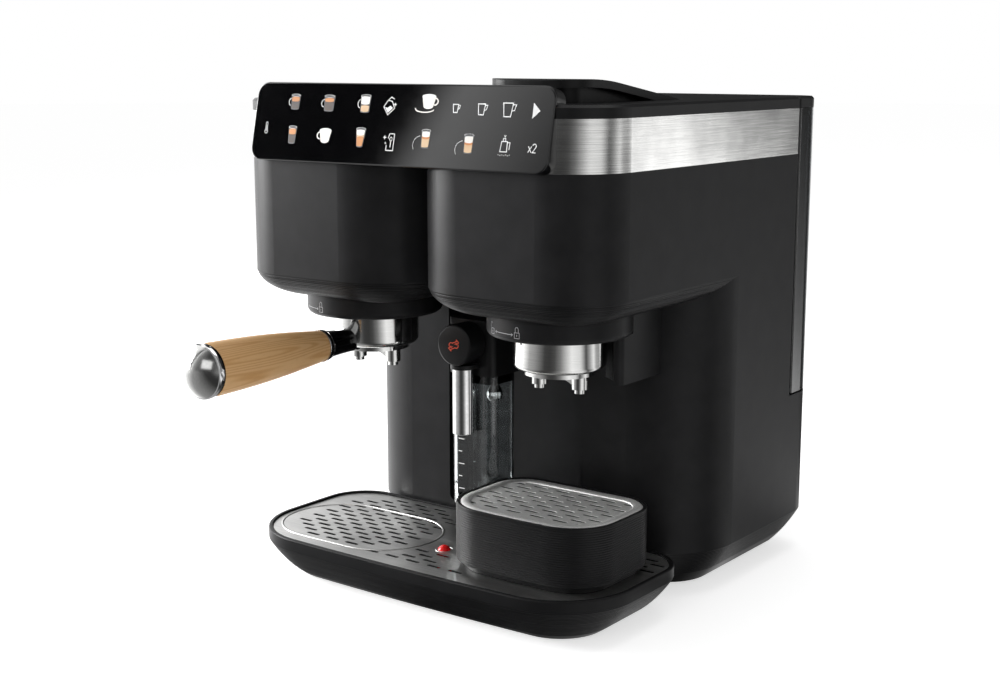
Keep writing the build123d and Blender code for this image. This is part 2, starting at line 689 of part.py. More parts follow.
def lid_ears():
    """Two ears in the well that hold the hinge pin."""
    y, z = lid_axis()
    floor = DECK_Z - WELL_DEPTH
    ears = None
    for side in (-1, 1):
        x0 = GROUP_X + side * EAR_X - EAR_WIDTH / 2
        x1 = x0 + EAR_WIDTH
        ear = block(x0, x1, y - EAR_RADIUS, y + EAR_RADIUS, floor, z) + rod_x(y, z, x0, x1, EAR_RADIUS)
        ear = ear - rod_x(y, z, x0, x1, LID_PIN_RADIUS)
        ears = ear if ears is None else ears + ear
    return ears


def lid_pin():
    """The steel pin that the lid turns on."""
    y, z = lid_axis()
    half = LID_WIDTH / 2
    return rod_x(y, z, GROUP_X - half, GROUP_X + half, LID_PIN_RADIUS)


def lid_section(drop):
    """The lid's side profile, this far below its top face, down to the well's floor."""
    bend_y = LID_BACK_Y + (LID_FRONT_Y - LID_BACK_Y) * LID_ARC_SHARE
    bend_z = DECK_Z + LID_RISE * 0.76 - drop
    crown = (LID_FRONT_Y + (bend_y - LID_FRONT_Y) * 0.4, DECK_Z + LID_RISE * 0.99 - drop)
    front = (LID_FRONT_Y, DECK_Z + LID_RISE * 0.95 - drop)
    back = (LID_BACK_Y, DECK_Z - drop)
    floor = DECK_Z - WELL_DEPTH + SEAT_GAP
    return make_face([ThreePointArc(front, crown, (bend_y, bend_z)), Line((bend_y, bend_z), back),
                      Line(back, (LID_BACK_Y, floor)), Line((LID_BACK_Y, floor), (LID_FRONT_Y, floor)),
                      Line((LID_FRONT_Y, floor), front)])


def lid_wedge(drop):
    """Everything under the lid's profile, over its whole width."""
    return extrude(Plane.YZ.offset(GROUP_X - LID_WIDTH / 2) * lid_section(drop), amount=LID_WIDTH)


def lid():
    """The arched lid: high at the front, flush with the deck at its hinge, on a set-in skirt."""
    y, z = lid_axis()
    under = lid_wedge(LID_THICKNESS)
    z0, z1 = DECK_Z - WELL_DEPTH, DECK_Z + LID_RISE
    slab = (lid_wedge(0) & prism(lid_outline(0), z0, z1)) - under
    skirt_back = y - EAR_RADIUS * 2
    skirt_plan = lid_outline(-LID_SKIRT_INSET) - block_face(skirt_back)
    skirt_room = lid_outline(-LID_SKIRT_INSET - LID_SKIRT_WALL) - block_face(skirt_back - LID_SKIRT_WALL)
    skirt = (prism(skirt_plan, z0, z1) - prism(skirt_room, z0, z1)) & under
    body = slab + skirt
    for side in (-1, 1):
        x0 = GROUP_X + side * EAR_X - EAR_WIDTH / 2 - SEAT_GAP
        x1 = x0 + EAR_WIDTH + 2 * SEAT_GAP
        body = body - block(x0, x1, y - EAR_RADIUS - SEAT_GAP, LID_BACK_Y, z0, z1)
    half = LID_WIDTH / 2
    return body - rod_x(y, z, GROUP_X - half, GROUP_X + half, LID_PIN_RADIUS + PIN_FIT)


# ---- brew groups -----------------------------------------------------------
def group_collar(side):
    """The round collar under the chin, with the channel and entry slots for the cup's lugs."""
    bore = CUP_RADIUS + CUP_CLEARANCE
    channel = CUP_RADIUS + LUG_REACH + CUP_CLEARANCE
    lip_top = COLLAR_Z + COLLAR_LIP
    rounding = arc_points(COLLAR_RADIUS - COLLAR_EDGE, COLLAR_Z + COLLAR_EDGE, COLLAR_EDGE, -90, 0, 4)
    inside = [(COLLAR_RADIUS, CHIN_FLOOR_Z), (channel, CHIN_FLOOR_Z), (channel, lip_top), (bore, lip_top)]
    ring = turned([(bore, COLLAR_Z)] + rounding + inside, side * GROUP_X, GROUP_Y)
    for turn in (-UNLOCK_ANGLE, 180 - UNLOCK_ANGLE):
        ring = ring - lug(side, turn, LUG_ANGLE + 6, COLLAR_Z, lip_top, CUP_CLEARANCE)
    return ring


def lug(side, turn, angle, z0, z1, grow):
    """A sector outside the cup's wall, centred on the angle turn."""
    reach = CUP_RADIUS + LUG_REACH + grow
    half = radians(angle / 2)
    inner = CUP_RADIUS - CUP_WALL / 2
    start, middle, end = ((reach * cos(a), reach * sin(a)) for a in (-half, 0, half))
    sector = make_face([Line((inner * cos(half), inner * sin(half)), (inner * cos(half), -inner * sin(half))),
                        Line((inner * cos(half), -inner * sin(half)), start),
                        ThreePointArc(start, middle, end),
                        Line(end, (inner * cos(half), inner * sin(half)))])
    return Pos(side * GROUP_X, GROUP_Y, z0) * Rot(0, 0, turn) * extrude(sector, amount=z1 - z0)


def brew_group(side):
    """The cast group with its heater, standing on the chin's floor."""
    x = side * GROUP_X
    base = CHIN_FLOOR_Z + SHELL_WALL
    body = rod(x, GROUP_Y, base, base + GROUP_FLANGE, GROUP_FLANGE_RADIUS)
    body = body + rod(x, GROUP_Y, base, base + BOILER_HEIGHT, BOILER_RADIUS)
    ring_z = base + BOILER_HEIGHT / 2
    body = body + rod(x, GROUP_Y, ring_z, ring_z + HEATER_RING, BOILER_RADIUS + HEATER_RING / 2)
    gasket_top = gasket_z() + GASKET_HEIGHT
    body = body - rod(x, GROUP_Y, base, gasket_top, GASKET_RADIUS)
    return body + rod(x, GROUP_Y, gasket_top - SCREEN_DROP, gasket_top, SCREEN_RADIUS / 3)


def gasket_z():
    """The underside of the group gasket, just clear of the filter's rim."""
    return CHIN_FLOOR_Z + SEAT_GAP + 0.2


def cup_top():
    """The rim of the cup, below the filter's rim."""
    return gasket_z() - SEAT_GAP - FILTER_RIM


def group_gasket(side):
    """The rubber ring that the filter's rim seals against."""
    z = gasket_z()
    ring = rod(side * GROUP_X, GROUP_Y, z, z + GASKET_HEIGHT, GASKET_RADIUS)
    return ring - rod(side * GROUP_X, GROUP_Y, z, z + GASKET_HEIGHT, GASKET_INNER_RADIUS)


def shower_screen(side):
    """The steel screen inside the gasket."""
    z = gasket_z() + GASKET_HEIGHT - SCREEN_DROP
    return rod(side * GROUP_X, GROUP_Y, z - SCREEN_THICKNESS, z, SCREEN_RADIUS)


# ---- portafilters ----------------------------------------------------------
def cup(side):
    """The polished cup of a portafilter, with its two bayonet lugs."""
    top = cup_top()
    inner = CUP_RADIUS - CUP_WALL
    floor = CUP_BOTTOM_Z + CUP_WALL
    rounding = arc_points(CUP_RADIUS - CUP_EDGE, CUP_BOTTOM_Z + CUP_EDGE, CUP_EDGE, -90, 0, 3)
    inside = [(CUP_RADIUS, top), (inner, top), (inner, floor), (0, floor)]
    body = turned([(0, CUP_BOTTOM_Z)] + rounding + inside, side * GROUP_X, GROUP_Y)
    lug_z = COLLAR_Z + COLLAR_LIP + LUG_LIFT
    for turn in (0, 180):
        body = body + lug(side, turn, LUG_ANGLE, lug_z, lug_z + LUG_HEIGHT, 0)
    for sx in (-1, 1):
        drain = side * GROUP_X + sx * NOZZLE_SPACING / 2
        body = body - rod(drain, GROUP_Y, CUP_BOTTOM_Z, floor, NOZZLE_BORE)
    if side < 0:
        body = body - rod_y(-GROUP_X, HANDLE_Z, GROUP_Y - CUP_RADIUS, GROUP_Y - CUP_RADIUS + CUP_WALL * 2,
                            TANG_RADIUS)
    return body


def filter_basket(side):
    """The pressed steel filter that hangs by its rim in the cup."""
    x = side * GROUP_X
    rim_z = cup_top()
    outer = CUP_RADIUS - CUP_WALL - FILTER_CLEARANCE
    bottom = rim_z - FILTER_DEPTH
    rim_radius = CUP_RADIUS - CUP_WALL / 4
    solid = turned([(0, bottom), (outer, bottom), (outer, rim_z), (rim_radius, rim_z),
                    (rim_radius, rim_z + FILTER_RIM), (outer - FILTER_WALL, rim_z + FILTER_RIM),
                    (outer - FILTER_WALL, bottom + FILTER_WALL), (0, bottom + FILTER_WALL)], x, GROUP_Y)
    for ring in range(1, FILTER_RINGS + 1):
        ring_radius = ring * FILTER_RING_STEP
        count = ring * FIRST_RING_HOLES
        for i in range(count):
            turn = 2 * pi * i / count
            hole = rod(x + ring_radius * cos(turn), GROUP_Y + ring_radius * sin(turn),
                       bottom, bottom + FILTER_WALL, FILTER_HOLE_RADIUS)
            solid = solid - hole
    return solid


def twin_spout(side):
    """Two short spouts joined by an arched web, on a disc under the cup."""
    x = side * GROUP_X
    under = CUP_BOTTOM_Z - SPOUT_BASE_HEIGHT
    barrel_z = under - SPOUT_BARREL_HEIGHT
    half = NOZZLE_SPACING / 2
    web_front = GROUP_Y - SPOUT_WEB / 2
    web_back = web_front + SPOUT_WEB
    arch_top = under - SPOUT_WEB_THICKNESS
    arch_height = arch_top - barrel_z
    arch_radius = (half ** 2 + arch_height ** 2) / (2 * arch_height)
    spout = block(x - half, x + half, web_front, web_back, barrel_z, under)
    spout = spout - rod_y(x, arch_top - arch_radius, web_front, web_back, arch_radius)
    spout = spout + rod(x, GROUP_Y, under, CUP_BOTTOM_Z, SPOUT_BASE_RADIUS)
    for sx in (-1, 1):
        nozzle_x = x + sx * half
        spout = spout + rod(nozzle_x, GROUP_Y, barrel_z, under, SPOUT_BARREL_RADIUS)
        spout = spout + rod(nozzle_x, GROUP_Y, barrel_z - NOZZLE_HEIGHT, barrel_z, NOZZLE_RADIUS)
    for sx in (-1, 1):
        spout = spout - rod(x + sx * half, GROUP_Y, barrel_z - NOZZLE_HEIGHT, CUP_BOTTOM_Z, NOZZLE_BORE)
    return spout


def handle_turned(points):
    """A solid turned about the handle's axis from (distance from the group's axis, radius) points."""
    outline = make_face(Polyline([(-GROUP_X, GROUP_Y - d, HANDLE_Z + r) for d, r in points], close=True))
    axis = Axis((-GROUP_X, GROUP_Y, HANDLE_Z), (0, -1, 0))
    return revolve(outline, axis)


def neck():
    """The black neck, with a tang into the cup's wall and one into the grip."""
    root = CUP_RADIUS - CUP_WALL
    cup_wall = CUP_RADIUS - CUP_WALL / 2
    tang_end = NECK_END + TANG_REACH
    solid = handle_turned([
        (root, 0), (root, TANG_RADIUS), (cup_wall, TANG_RADIUS), (cup_wall, NECK_ROOT_RADIUS),
        (NECK_END, NECK_END_RADIUS), (NECK_END, TANG_RADIUS), (tang_end, TANG_RADIUS), (tang_end, 0)])
    shell = rod(-GROUP_X, GROUP_Y, CUP_BOTTOM_Z - NECK_ROOT_RADIUS, COLLAR_Z, CUP_RADIUS)
    tang = rod_y(-GROUP_X, HANDLE_Z, GROUP_Y - CUP_RADIUS, GROUP_Y - root, TANG_RADIUS)
    return solid - shell + tang


def grip():
    """The turned wooden grip, slightly swollen between its ends."""
    swell_start = NECK_END + (GRIP_END - NECK_END) * 0.3
    swell_end = NECK_END + (GRIP_END - NECK_END) * 0.7
    taper = (GRIP_END_RADIUS - NECK_END_RADIUS) / (GRIP_END - NECK_END)
    solid = handle_turned([
        (NECK_END, 0), (NECK_END, NECK_END_RADIUS),
        (swell_start, NECK_END_RADIUS + (swell_start - NECK_END) * taper + GRIP_SWELL),
        (swell_end, NECK_END_RADIUS + (swell_end - NECK_END) * taper + GRIP_SWELL),
        (GRIP_END, GRIP_END_RADIUS), (GRIP_END, 0)])
    return solid - rod_y(-GROUP_X, HANDLE_Z, GROUP_Y - NECK_END - TANG_REACH, GROUP_Y - NECK_END, TANG_RADIUS)


def grip_ring():
    """The dark ring between the wood and the cap."""
    return handle_turned([(GRIP_END, 0), (GRIP_END, GRIP_END_RADIUS - RING_STEP),
                          (GRIP_END + RING_LENGTH, GRIP_END_RADIUS - RING_STEP), (GRIP_END + RING_LENGTH, 0)])


def grip_cap():
    """The polished cap: a short rim and a shallow dome."""
    near = GRIP_END + RING_LENGTH
    rim = near + CAP_RIM_LENGTH
    radius = GRIP_END_RADIUS + RING_STEP
    ball_radius = (radius ** 2 + CAP_DOME_HEIGHT ** 2) / (2 * CAP_DOME_HEIGHT)
    spread = degrees(asin(radius / ball_radius))
    dome = arc_points(rim + CAP_DOME_HEIGHT - ball_radius, 0, ball_radius, spread, 0, 4)
    return handle_turned([(near, 0), (near, radius)] + dome)


# ---- milk unit -------------------------------------------------------------
def jar_plan(inset):
    """The milk container's outline."""
    half = JAR_WIDTH / 2 - inset
    radius = JAR_RADIUS - inset
    return plan(-half, half, JAR_FRONT_Y + inset, JAR_FRONT_Y + JAR_DEPTH - inset, (radius, radius),
                (radius, radius))


def milk_jar():
    """The clear milk container, open above."""
    body = prism(jar_plan(0), JAR_BOTTOM_Z, JAR_TOP_Z)
    return body - prism(jar_plan(JAR_WALL), JAR_BOTTOM_Z + JAR_WALL, JAR_TOP_Z)


def milk_seal():
    """The rubber frame between the jar's wall and the head's plug."""
    z0 = JAR_TOP_Z - MILK_PLUG_DEPTH
    return prism(jar_plan(JAR_WALL), z0, JAR_TOP_Z) - prism(jar_plan(JAR_WALL + SEAL_WALL), z0, JAR_TOP_Z)


def milk_head():
    """The black head of the milk unit: plug, spout arm, knob bearing and steam spigot."""
    half = JAR_WIDTH / 2 + 0.5
    front = JAR_FRONT_Y - 1
    face = plan(-half, half, front, MILK_HEAD_BACK_Y, (5, 5), (0, 0))
    body = prism(face, JAR_TOP_Z, MILK_HEAD_TOP_Z)
    body = body + prism(jar_plan(JAR_WALL + SEAL_WALL), JAR_TOP_Z - MILK_PLUG_DEPTH, JAR_TOP_Z)
    arm_radius = SPOUT_TUBE_RADIUS + SPOUT_ARM_WALL
    arm_top = KNOB_Z - KNOB_RADIUS - SEAT_GAP
    arm = rod(0, SPOUT_TUBE_Y, SPOUT_ARM_BOTTOM_Z, arm_top, arm_radius)
    arm = arm + block(-arm_radius, arm_radius, SPOUT_TUBE_Y, front + 1, SPOUT_ARM_BOTTOM_Z, arm_top)
    body = body + arm
    body = body - rod(0, SPOUT_TUBE_Y, JAR_TOP_Z, arm_top - SPOUT_ARM_WALL, SPOUT_TUBE_RADIUS)
    body = body + rod_y(0, KNOB_Z, MILK_HEAD_BACK_Y, MILK_HEAD_BACK_Y + SPIGOT_LENGTH, SPIGOT_RADIUS)
    shaft_end = KNOB_FRONT_Y + KNOB_LENGTH + KNOB_SHAFT_LENGTH
    bearing = rod_y(0, KNOB_Z, front, shaft_end + SEAT_GAP, KNOB_SHAFT_RADIUS + PIN_FIT)
    steam_hole = rod(STEAM_X, JAR_FRONT_Y + JAR_DEPTH / 2, JAR_TOP_Z - MILK_PLUG_DEPTH, JAR_TOP_Z,
                     STEAM_STEM_RADIUS)
    return body - bearing - steam_hole


def milk_spout():
    """The chrome tube that froths milk into the cup."""
    top = KNOB_Z - KNOB_RADIUS - SEAT_GAP - SPOUT_ARM_WALL
    tube = rod(0, SPOUT_TUBE_Y, SPOUT_TUBE_BOTTOM_Z, top, SPOUT_TUBE_RADIUS)
    return tube - rod(0, SPOUT_TUBE_Y, SPOUT_TUBE_BOTTOM_Z, top, SPOUT_TUBE_RADIUS - SPOUT_TUBE_WALL)


def steam_tip():
    """The drop-shaped tip on its stem inside the jar."""
    belly = STEAM_TIP_Z + STEAM_TIP_RADIUS
    ball = arc_points(0, belly, STEAM_TIP_RADIUS, -90, STEAM_TIP_TAPER_START, 5)
    taper_top = STEAM_TIP_Z + STEAM_TIP_LENGTH
    stem = [(STEAM_STEM_RADIUS, taper_top), (STEAM_STEM_RADIUS, JAR_TOP_Z), (0, JAR_TOP_Z)]
    return turned(ball + stem, STEAM_X, JAR_FRONT_Y + JAR_DEPTH / 2)


def milk_knob():
    """The round knob with its shaft."""
    back = KNOB_FRONT_Y + KNOB_LENGTH
    knob = rod_y(0, KNOB_Z, KNOB_FRONT_Y, back, KNOB_RADIUS)
    knob = fillet(knob.edges().group_by(Axis.Y)[0], KNOB_EDGE)
    return knob + rod_y(0, KNOB_Z, back, back + KNOB_SHAFT_LENGTH, KNOB_SHAFT_RADIUS)


def steam_socket():
    """The socket in the recess that the milk unit's spigot slides into."""
    back = COLUMN_FRONT_Y + RECESS_DEPTH
    socket = rod_y(0, KNOB_Z, back - SOCKET_LENGTH, back, SOCKET_RADIUS)
    return socket - rod_y(0, KNOB_Z, back - SOCKET_LENGTH, back, SPIGOT_RADIUS + PIN_FIT)


# ---- water tank ------------------------------------------------------------
def tank_middle_y():
    return (TANK_FRONT_Y + BACK_Y) / 2


def water_tank():
    """The clear tank behind the body, open above."""
    z0 = TANK_SHELF_Z + SEAT_GAP
    body = prism(tank_plan(0), z0, BAND_TOP_Z)
    body = chamfer(body.edges().group_by(Axis.Z)[0], TANK_EDGE)
    body = body - prism(tank_plan(TANK_WALL), z0 + TANK_WALL, BAND_TOP_Z)
    return body - rod(VALVE_X, tank_middle_y(), z0, z0 + TANK_WALL, VALVE_RADIUS)


def tank_lid():
    """The tank's black lid, level with the deck, with a plug into the tank."""
    plate = prism(tank_plan(0), BAND_TOP_Z + SEAT_GAP, DECK_Z)
    back_edges = plate.edges().group_by(Axis.Z)[-1].filter_by(lambda e: e.center().Y > tank_middle_y())
    plate = chamfer(back_edges, DECK_EDGE)
    plug_z = BAND_TOP_Z - TANK_LID_PLUG
    rim = prism(tank_plan(TANK_WALL + SEAT_GAP), plug_z, BAND_TOP_Z + SEAT_GAP)
    rim = rim - prism(tank_plan(TANK_WALL * 2 + SEAT_GAP), plug_z, BAND_TOP_Z + SEAT_GAP)
    return plate + rim


def tank_valve():
    """The sprung outlet valve in the tank's floor."""
    z0 = TANK_SHELF_Z + SEAT_GAP
    y = tank_middle_y()
    body = rod(VALVE_X, y, z0 - VALVE_SEAT_DEPTH * 0.6, z0 + TANK_WALL, VALVE_RADIUS)
    return body + rod(VALVE_X, y, z0 + TANK_WALL, z0 + VALVE_HEIGHT, VALVE_RADIUS + 2)


def valve_seat():
    """The sleeve under the shelf that the valve stands in."""
    top = TANK_SHELF_Z
    y = tank_middle_y()
    sleeve = rod(VALVE_X, y, top - SHELL_WALL - VALVE_SEAT_DEPTH, top, VALVE_SEAT_RADIUS)
    sleeve = sleeve - rod(VALVE_X, y, top - VALVE_SEAT_DEPTH, top, VALVE_RADIUS + SEAT_GAP)
    nipple_z = top - SHELL_WALL - VALVE_SEAT_DEPTH
    return sleeve + rod(VALVE_X, y, nipple_z - NIPPLE_LENGTH, nipple_z, HOSE_BORE - PIN_FIT)


# ---- drip tray -------------------------------------------------------------
def tray_cavity_z():
    """The inside floor of the drip tray."""
    return FOOT_HEIGHT + BASE_PLATE + SEAT_GAP + TRAY_FLOOR


def plate_top_z():
    """The drip plate's upper face."""
    return TRAY_TOP_Z - PLATE_DROP


def tray_body():
    """The ribbed drip tray, hollow above its floor and cut out below for the base's tongue."""
    lip_z = TRAY_TOP_Z - TRAY_LIP
    body = ribbed_curve(tray_plan, lip_z, TRAY_BOTTOM_Z, TRAY_INSET, TRAY_RIBS, TRAY_ARC)
    body = body + prism(tray_plan(0), lip_z, TRAY_TOP_Z)
    plate_bottom = plate_top_z() - PLATE_THICKNESS
    body = body - prism(tray_plan(TRAY_WALL), plate_bottom, TRAY_TOP_Z)
    floor = tray_cavity_z()
    depth_share = (lip_z - floor) / (lip_z - TRAY_BOTTOM_Z)
    room_low = TRAY_INSET * curve_inset(depth_share, TRAY_ARC) + TRAY_WALL
    room_high = TRAY_WALL + TRAY_LEDGE
    room_floor = Pos(0, 0, floor) * tray_plan(room_low)
    room_lip = Pos(0, 0, lip_z) * tray_plan(room_high)
    lower = loft([room_floor, room_lip], ruled=True)
    body = body - lower - prism(tray_plan(room_high), lip_z, plate_bottom)
    under = floor - TRAY_FLOOR
    body = body - prism(tray_plan(TRAY_INSET + TRAY_WALL), TRAY_BOTTOM_Z, under)
    half = TONGUE_WIDTH / 2 + 2
    back = COLUMN_FRONT_Y
    return body - block(-half, half, back - TRAY_INSET * 2, back, TRAY_BOTTOM_Z, under)


def slot_grid(middle_x, middle_y, allowed):
    """Centres of staggered slots round a middle, where allowed(x, y) holds."""
    columns = int(HALF_WIDTH / SLOT_PITCH_X)
    rows = int(HALF_WIDTH / SLOT_PITCH_Y)
    centres = []
    for row in range(-rows, rows + 1):
        y = middle_y + row * SLOT_PITCH_Y
        shift = 0.0 if row % 2 else SLOT_PITCH_X / 2
        for column in range(-columns, columns + 1):
            x = middle_x + column * SLOT_PITCH_X + shift
            if allowed(x, y):
                centres.append((x, y))
    return centres


def under_cup(x, y):
    """Whether a slot lies in the round field under the left group."""
    return (x - CUP_FIELD_X) ** 2 + (y - CUP_FIELD_Y) ** 2 < CUP_FIELD_RADIUS ** 2


def at_front(x, y):
    """Whether a slot lies at the middle of the front: a long row at the edge, short ones behind it."""
    row = round((y - FRONT_FIELD_Y) / SLOT_PITCH_Y)
    width = FRONT_ROW_WIDTH if row == -2 else FRONT_FIELD_WIDTH
    return -2 <= row <= 1 and abs(x) < width / 2


def slotted(plate, centres, z0, z1):
    """The plate with a slot cut at each centre."""
    cutters = [block(x - SLOT_LENGTH / 2, x + SLOT_LENGTH / 2, y - SLOT_WIDTH / 2, y + SLOT_WIDTH / 2, z0, z1)
               for x, y in centres]
    return plate - cutters


def tray_plate():
    """The slotted steel plate in the drip tray."""
    top = plate_top_z()
    bottom = top - PLATE_THICKNESS
    plate = prism(tray_plan(TRAY_WALL + SEAT_GAP), bottom, top)
    plate = plate - rod(FLOAT_X, FLOAT_Y, bottom, top, FLOAT_RADIUS + SEAT_GAP)
    centres = slot_grid(CUP_FIELD_X, CUP_FIELD_Y, under_cup)
    centres = centres + slot_grid(SLOT_PITCH_X / 2, FRONT_FIELD_Y, at_front)
    return slotted(plate, centres, bottom, top)


def tray_float():
    """The red float that shows through the plate when the tray is full."""
    disc_z = tray_cavity_z() + SEAT_GAP
    disc_top = disc_z + FLOAT_DISC_HEIGHT
    dome = arc_points(0, plate_top_z() + FLOAT_TIP - FLOAT_RADIUS, FLOAT_RADIUS, 0, 90, 4)
    disc = [(0, disc_z), (FLOAT_DISC_RADIUS, disc_z), (FLOAT_DISC_RADIUS, disc_top), (FLOAT_RADIUS, disc_top)]
    return turned(disc + dome, FLOAT_X, FLOAT_Y)


# ---- raised cup stand ------------------------------------------------------
def stand_body():
    """The ribbed wall of the cup stand on its set-back foot."""
    foot_z = plate_top_z() + SEAT_GAP
    wall_z = foot_z + STAND_FOOT_HEIGHT
    pitch = (STAND_TOP_Z - wall_z) / STAND_RIBS
    wall = None
    for i in range(STAND_RIBS):
        z = wall_z + pitch * i
        rib = loft([Pos(0, 0, z) * stand_plan(RIB_STEP), Pos(0, 0, z + pitch) * stand_plan(0)], ruled=True)
        wall = rib if wall is None else wall + rib
    foot = prism(stand_plan(STAND_FOOT_INSET), foot_z, wall_z)
    plate_bottom = STAND_TOP_Z - PLATE_DROP - PLATE_THICKNESS
    room = prism(stand_plan(STAND_FOOT_INSET + STAND_WALL), foot_z, plate_bottom)
    upper = prism(stand_plan(STAND_WALL + STAND_LEDGE), wall_z + STAND_WALL, plate_bottom)
    seat = prism(stand_plan(STAND_WALL), plate_bottom, STAND_TOP_Z)
    return wall + foot - room - upper - seat


def on_stand(x, y):
    """Whether a slot lies inside the stand plate's plain border, clear of its round drains."""
    across = abs(x - GROUP_X) < STAND_FIELD_WIDTH / 2
    along = DRAIN_Y < y < STAND_BACK_Y - STAND_FIELD_MARGIN
    clear = y > DRAIN_Y + SLOT_PITCH_Y or abs(x - GROUP_X) > DRAIN_PITCH + SLOT_LENGTH
    return across and along and clear


def stand_plate():
    """The steel plate of the cup stand, with slots and three round drains."""
    top = STAND_TOP_Z - PLATE_DROP
    bottom = top - PLATE_THICKNESS
    plate = prism(stand_plan(STAND_WALL + SEAT_GAP), bottom, top)
    for i in (-1, 0, 1):
        plate = plate - rod(GROUP_X + i * DRAIN_PITCH, DRAIN_Y, bottom, top, DRAIN_RADIUS)
    return slotted(plate, slot_grid(GROUP_X, STAND_FIELD_Y, on_stand), bottom, top)


# ---- inside the column -----------------------------------------------------
def pump_base():
    """The pump's lower end, on its cradle."""
    return SKIRT_TOP_Z + CRADLE_HEIGHT


def water_pump():
    """The vibration pump, upright below the tank's valve: a coil round the middle and an inlet on top."""
    x, y = VALVE_X, tank_middle_y()
    bottom = pump_base()
    top = bottom + PUMP_LENGTH
    middle = (bottom + top) / 2
    pump = rod(x, y, bottom, top, PUMP_RADIUS)
    pump = pump + rod(x, y, middle - PUMP_COIL_LENGTH / 2, middle + PUMP_COIL_LENGTH / 2, PUMP_COIL_RADIUS)
    return pump + rod(x, y, top, top + NIPPLE_LENGTH, HOSE_BORE - PIN_FIT)


def pump_cradle():
    """The rubber disc between the skirt's ledge and the pump."""
    return rod(VALVE_X, tank_middle_y(), SKIRT_TOP_Z, pump_base(), PUMP_COIL_RADIUS)


def power_board():
    """The power board on four standoffs from the back wall."""
    wall = BACK_Y - SHELL_WALL
    face = wall - STANDOFF_LENGTH
    left = POWER_BOARD_X - POWER_BOARD_WIDTH / 2
    right = left + POWER_BOARD_WIDTH
    top = POWER_BOARD_Z + POWER_BOARD_HEIGHT
    front = face - BOARD_THICKNESS
    board = block(left, right, front, face, POWER_BOARD_Z, top)
    for x in (left + STANDOFF_RADIUS * 2, right - STANDOFF_RADIUS * 2):
        for z in (POWER_BOARD_Z + STANDOFF_RADIUS * 2, top - STANDOFF_RADIUS * 2):
            board = board + rod_y(x, z, face, wall, STANDOFF_RADIUS)
    middle_z = POWER_BOARD_Z + POWER_BOARD_HEIGHT / 2
    half = TRANSFORMER_SIZE / 2
    return board + block(POWER_BOARD_X - half, POWER_BOARD_X + half, front - TRANSFORMER_SIZE * 0.8, front,
                         middle_z - half, middle_z + half)


def feed_hose():
    """The straight hose from the tank's valve seat down to the pump."""
    top = TANK_SHELF_Z - SHELL_WALL - VALVE_SEAT_DEPTH
    bottom = pump_base() + PUMP_LENGTH
    y = tank_middle_y()
    return rod(VALVE_X, y, bottom, top, HOSE_RADIUS) - rod(VALVE_X, y, bottom, top, HOSE_BORE)


def cord_gland():
    """The rubber gland in the back wall."""
    wall = BACK_Y - SHELL_WALL
    body = rod_y(GLAND_X, GLAND_Z, wall, BACK_Y, GLAND_RADIUS)
    inner = rod_y(GLAND_X, GLAND_Z, wall - GLAND_FLANGE, wall, GLAND_RADIUS + GLAND_FLANGE)
    return body + inner - rod_y(GLAND_X, GLAND_Z, wall - GLAND_FLANGE, BACK_Y, GLAND_BORE)


def parts():
    """Every node and its solid."""
    nodes = {
        "base_skirt": base_skirt(), "base_plate": base_plate(), "base_screws": base_screws(),
        "rubber_feet": rubber_feet(), "column_shell": column_shell(), "recess_liner": recess_liner(),
        "guide_fin": guide_fin(), "head_shell": head_shell(), "steel_band": steel_band(),
        "top_cover": top_cover(), "panel_housing": panel_housing(), "panel_glass": panel_glass(),
        "control_board": control_board(), "lid": lid(), "lid_pin": lid_pin(),
        "neck": neck(), "grip": grip(), "grip_ring": grip_ring(), "grip_cap": grip_cap(),
        "milk_jar": milk_jar(), "milk_seal": milk_seal(), "milk_head": milk_head(),
        "milk_spout": milk_spout(), "steam_tip": steam_tip(), "milk_knob": milk_knob(),
        "steam_socket": steam_socket(), "water_tank": water_tank(), "tank_lid": tank_lid(),
        "tank_valve": tank_valve(), "valve_seat": valve_seat(), "tray_body": tray_body(),
        "tray_plate": tray_plate(), "tray_float": tray_float(), "stand_body": stand_body(),
        "stand_plate": stand_plate(), "water_pump": water_pump(), "pump_cradle": pump_cradle(),
        "power_board": power_board(), "feed_hose": feed_hose(), "cord_gland": cord_gland(),
    }
    for name, side in SIDES.items():
        nodes["chin_" + name] = chin(side)
        nodes["collar_" + name] = group_collar(side)
        nodes["brew_group_" + name] = brew_group(side)
        nodes["group_gasket_" + name] = group_gasket(side)
        nodes["shower_screen_" + name] = shower_screen(side)
        nodes["cup_" + name] = cup(side)
        nodes["filter_basket_" + name] = filter_basket(side)
        nodes["twin_spout_" + name] = twin_spout(side)
    return nodes


os.makedirs("parts", exist_ok=True)
for node, solid in parts().items():
    export_step(solid, "parts/" + node + ".step")
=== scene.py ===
"""Finishes and fine detail of a two-group coffee machine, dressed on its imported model."""
from math import atan2, cos, hypot, pi, radians, sin, sqrt

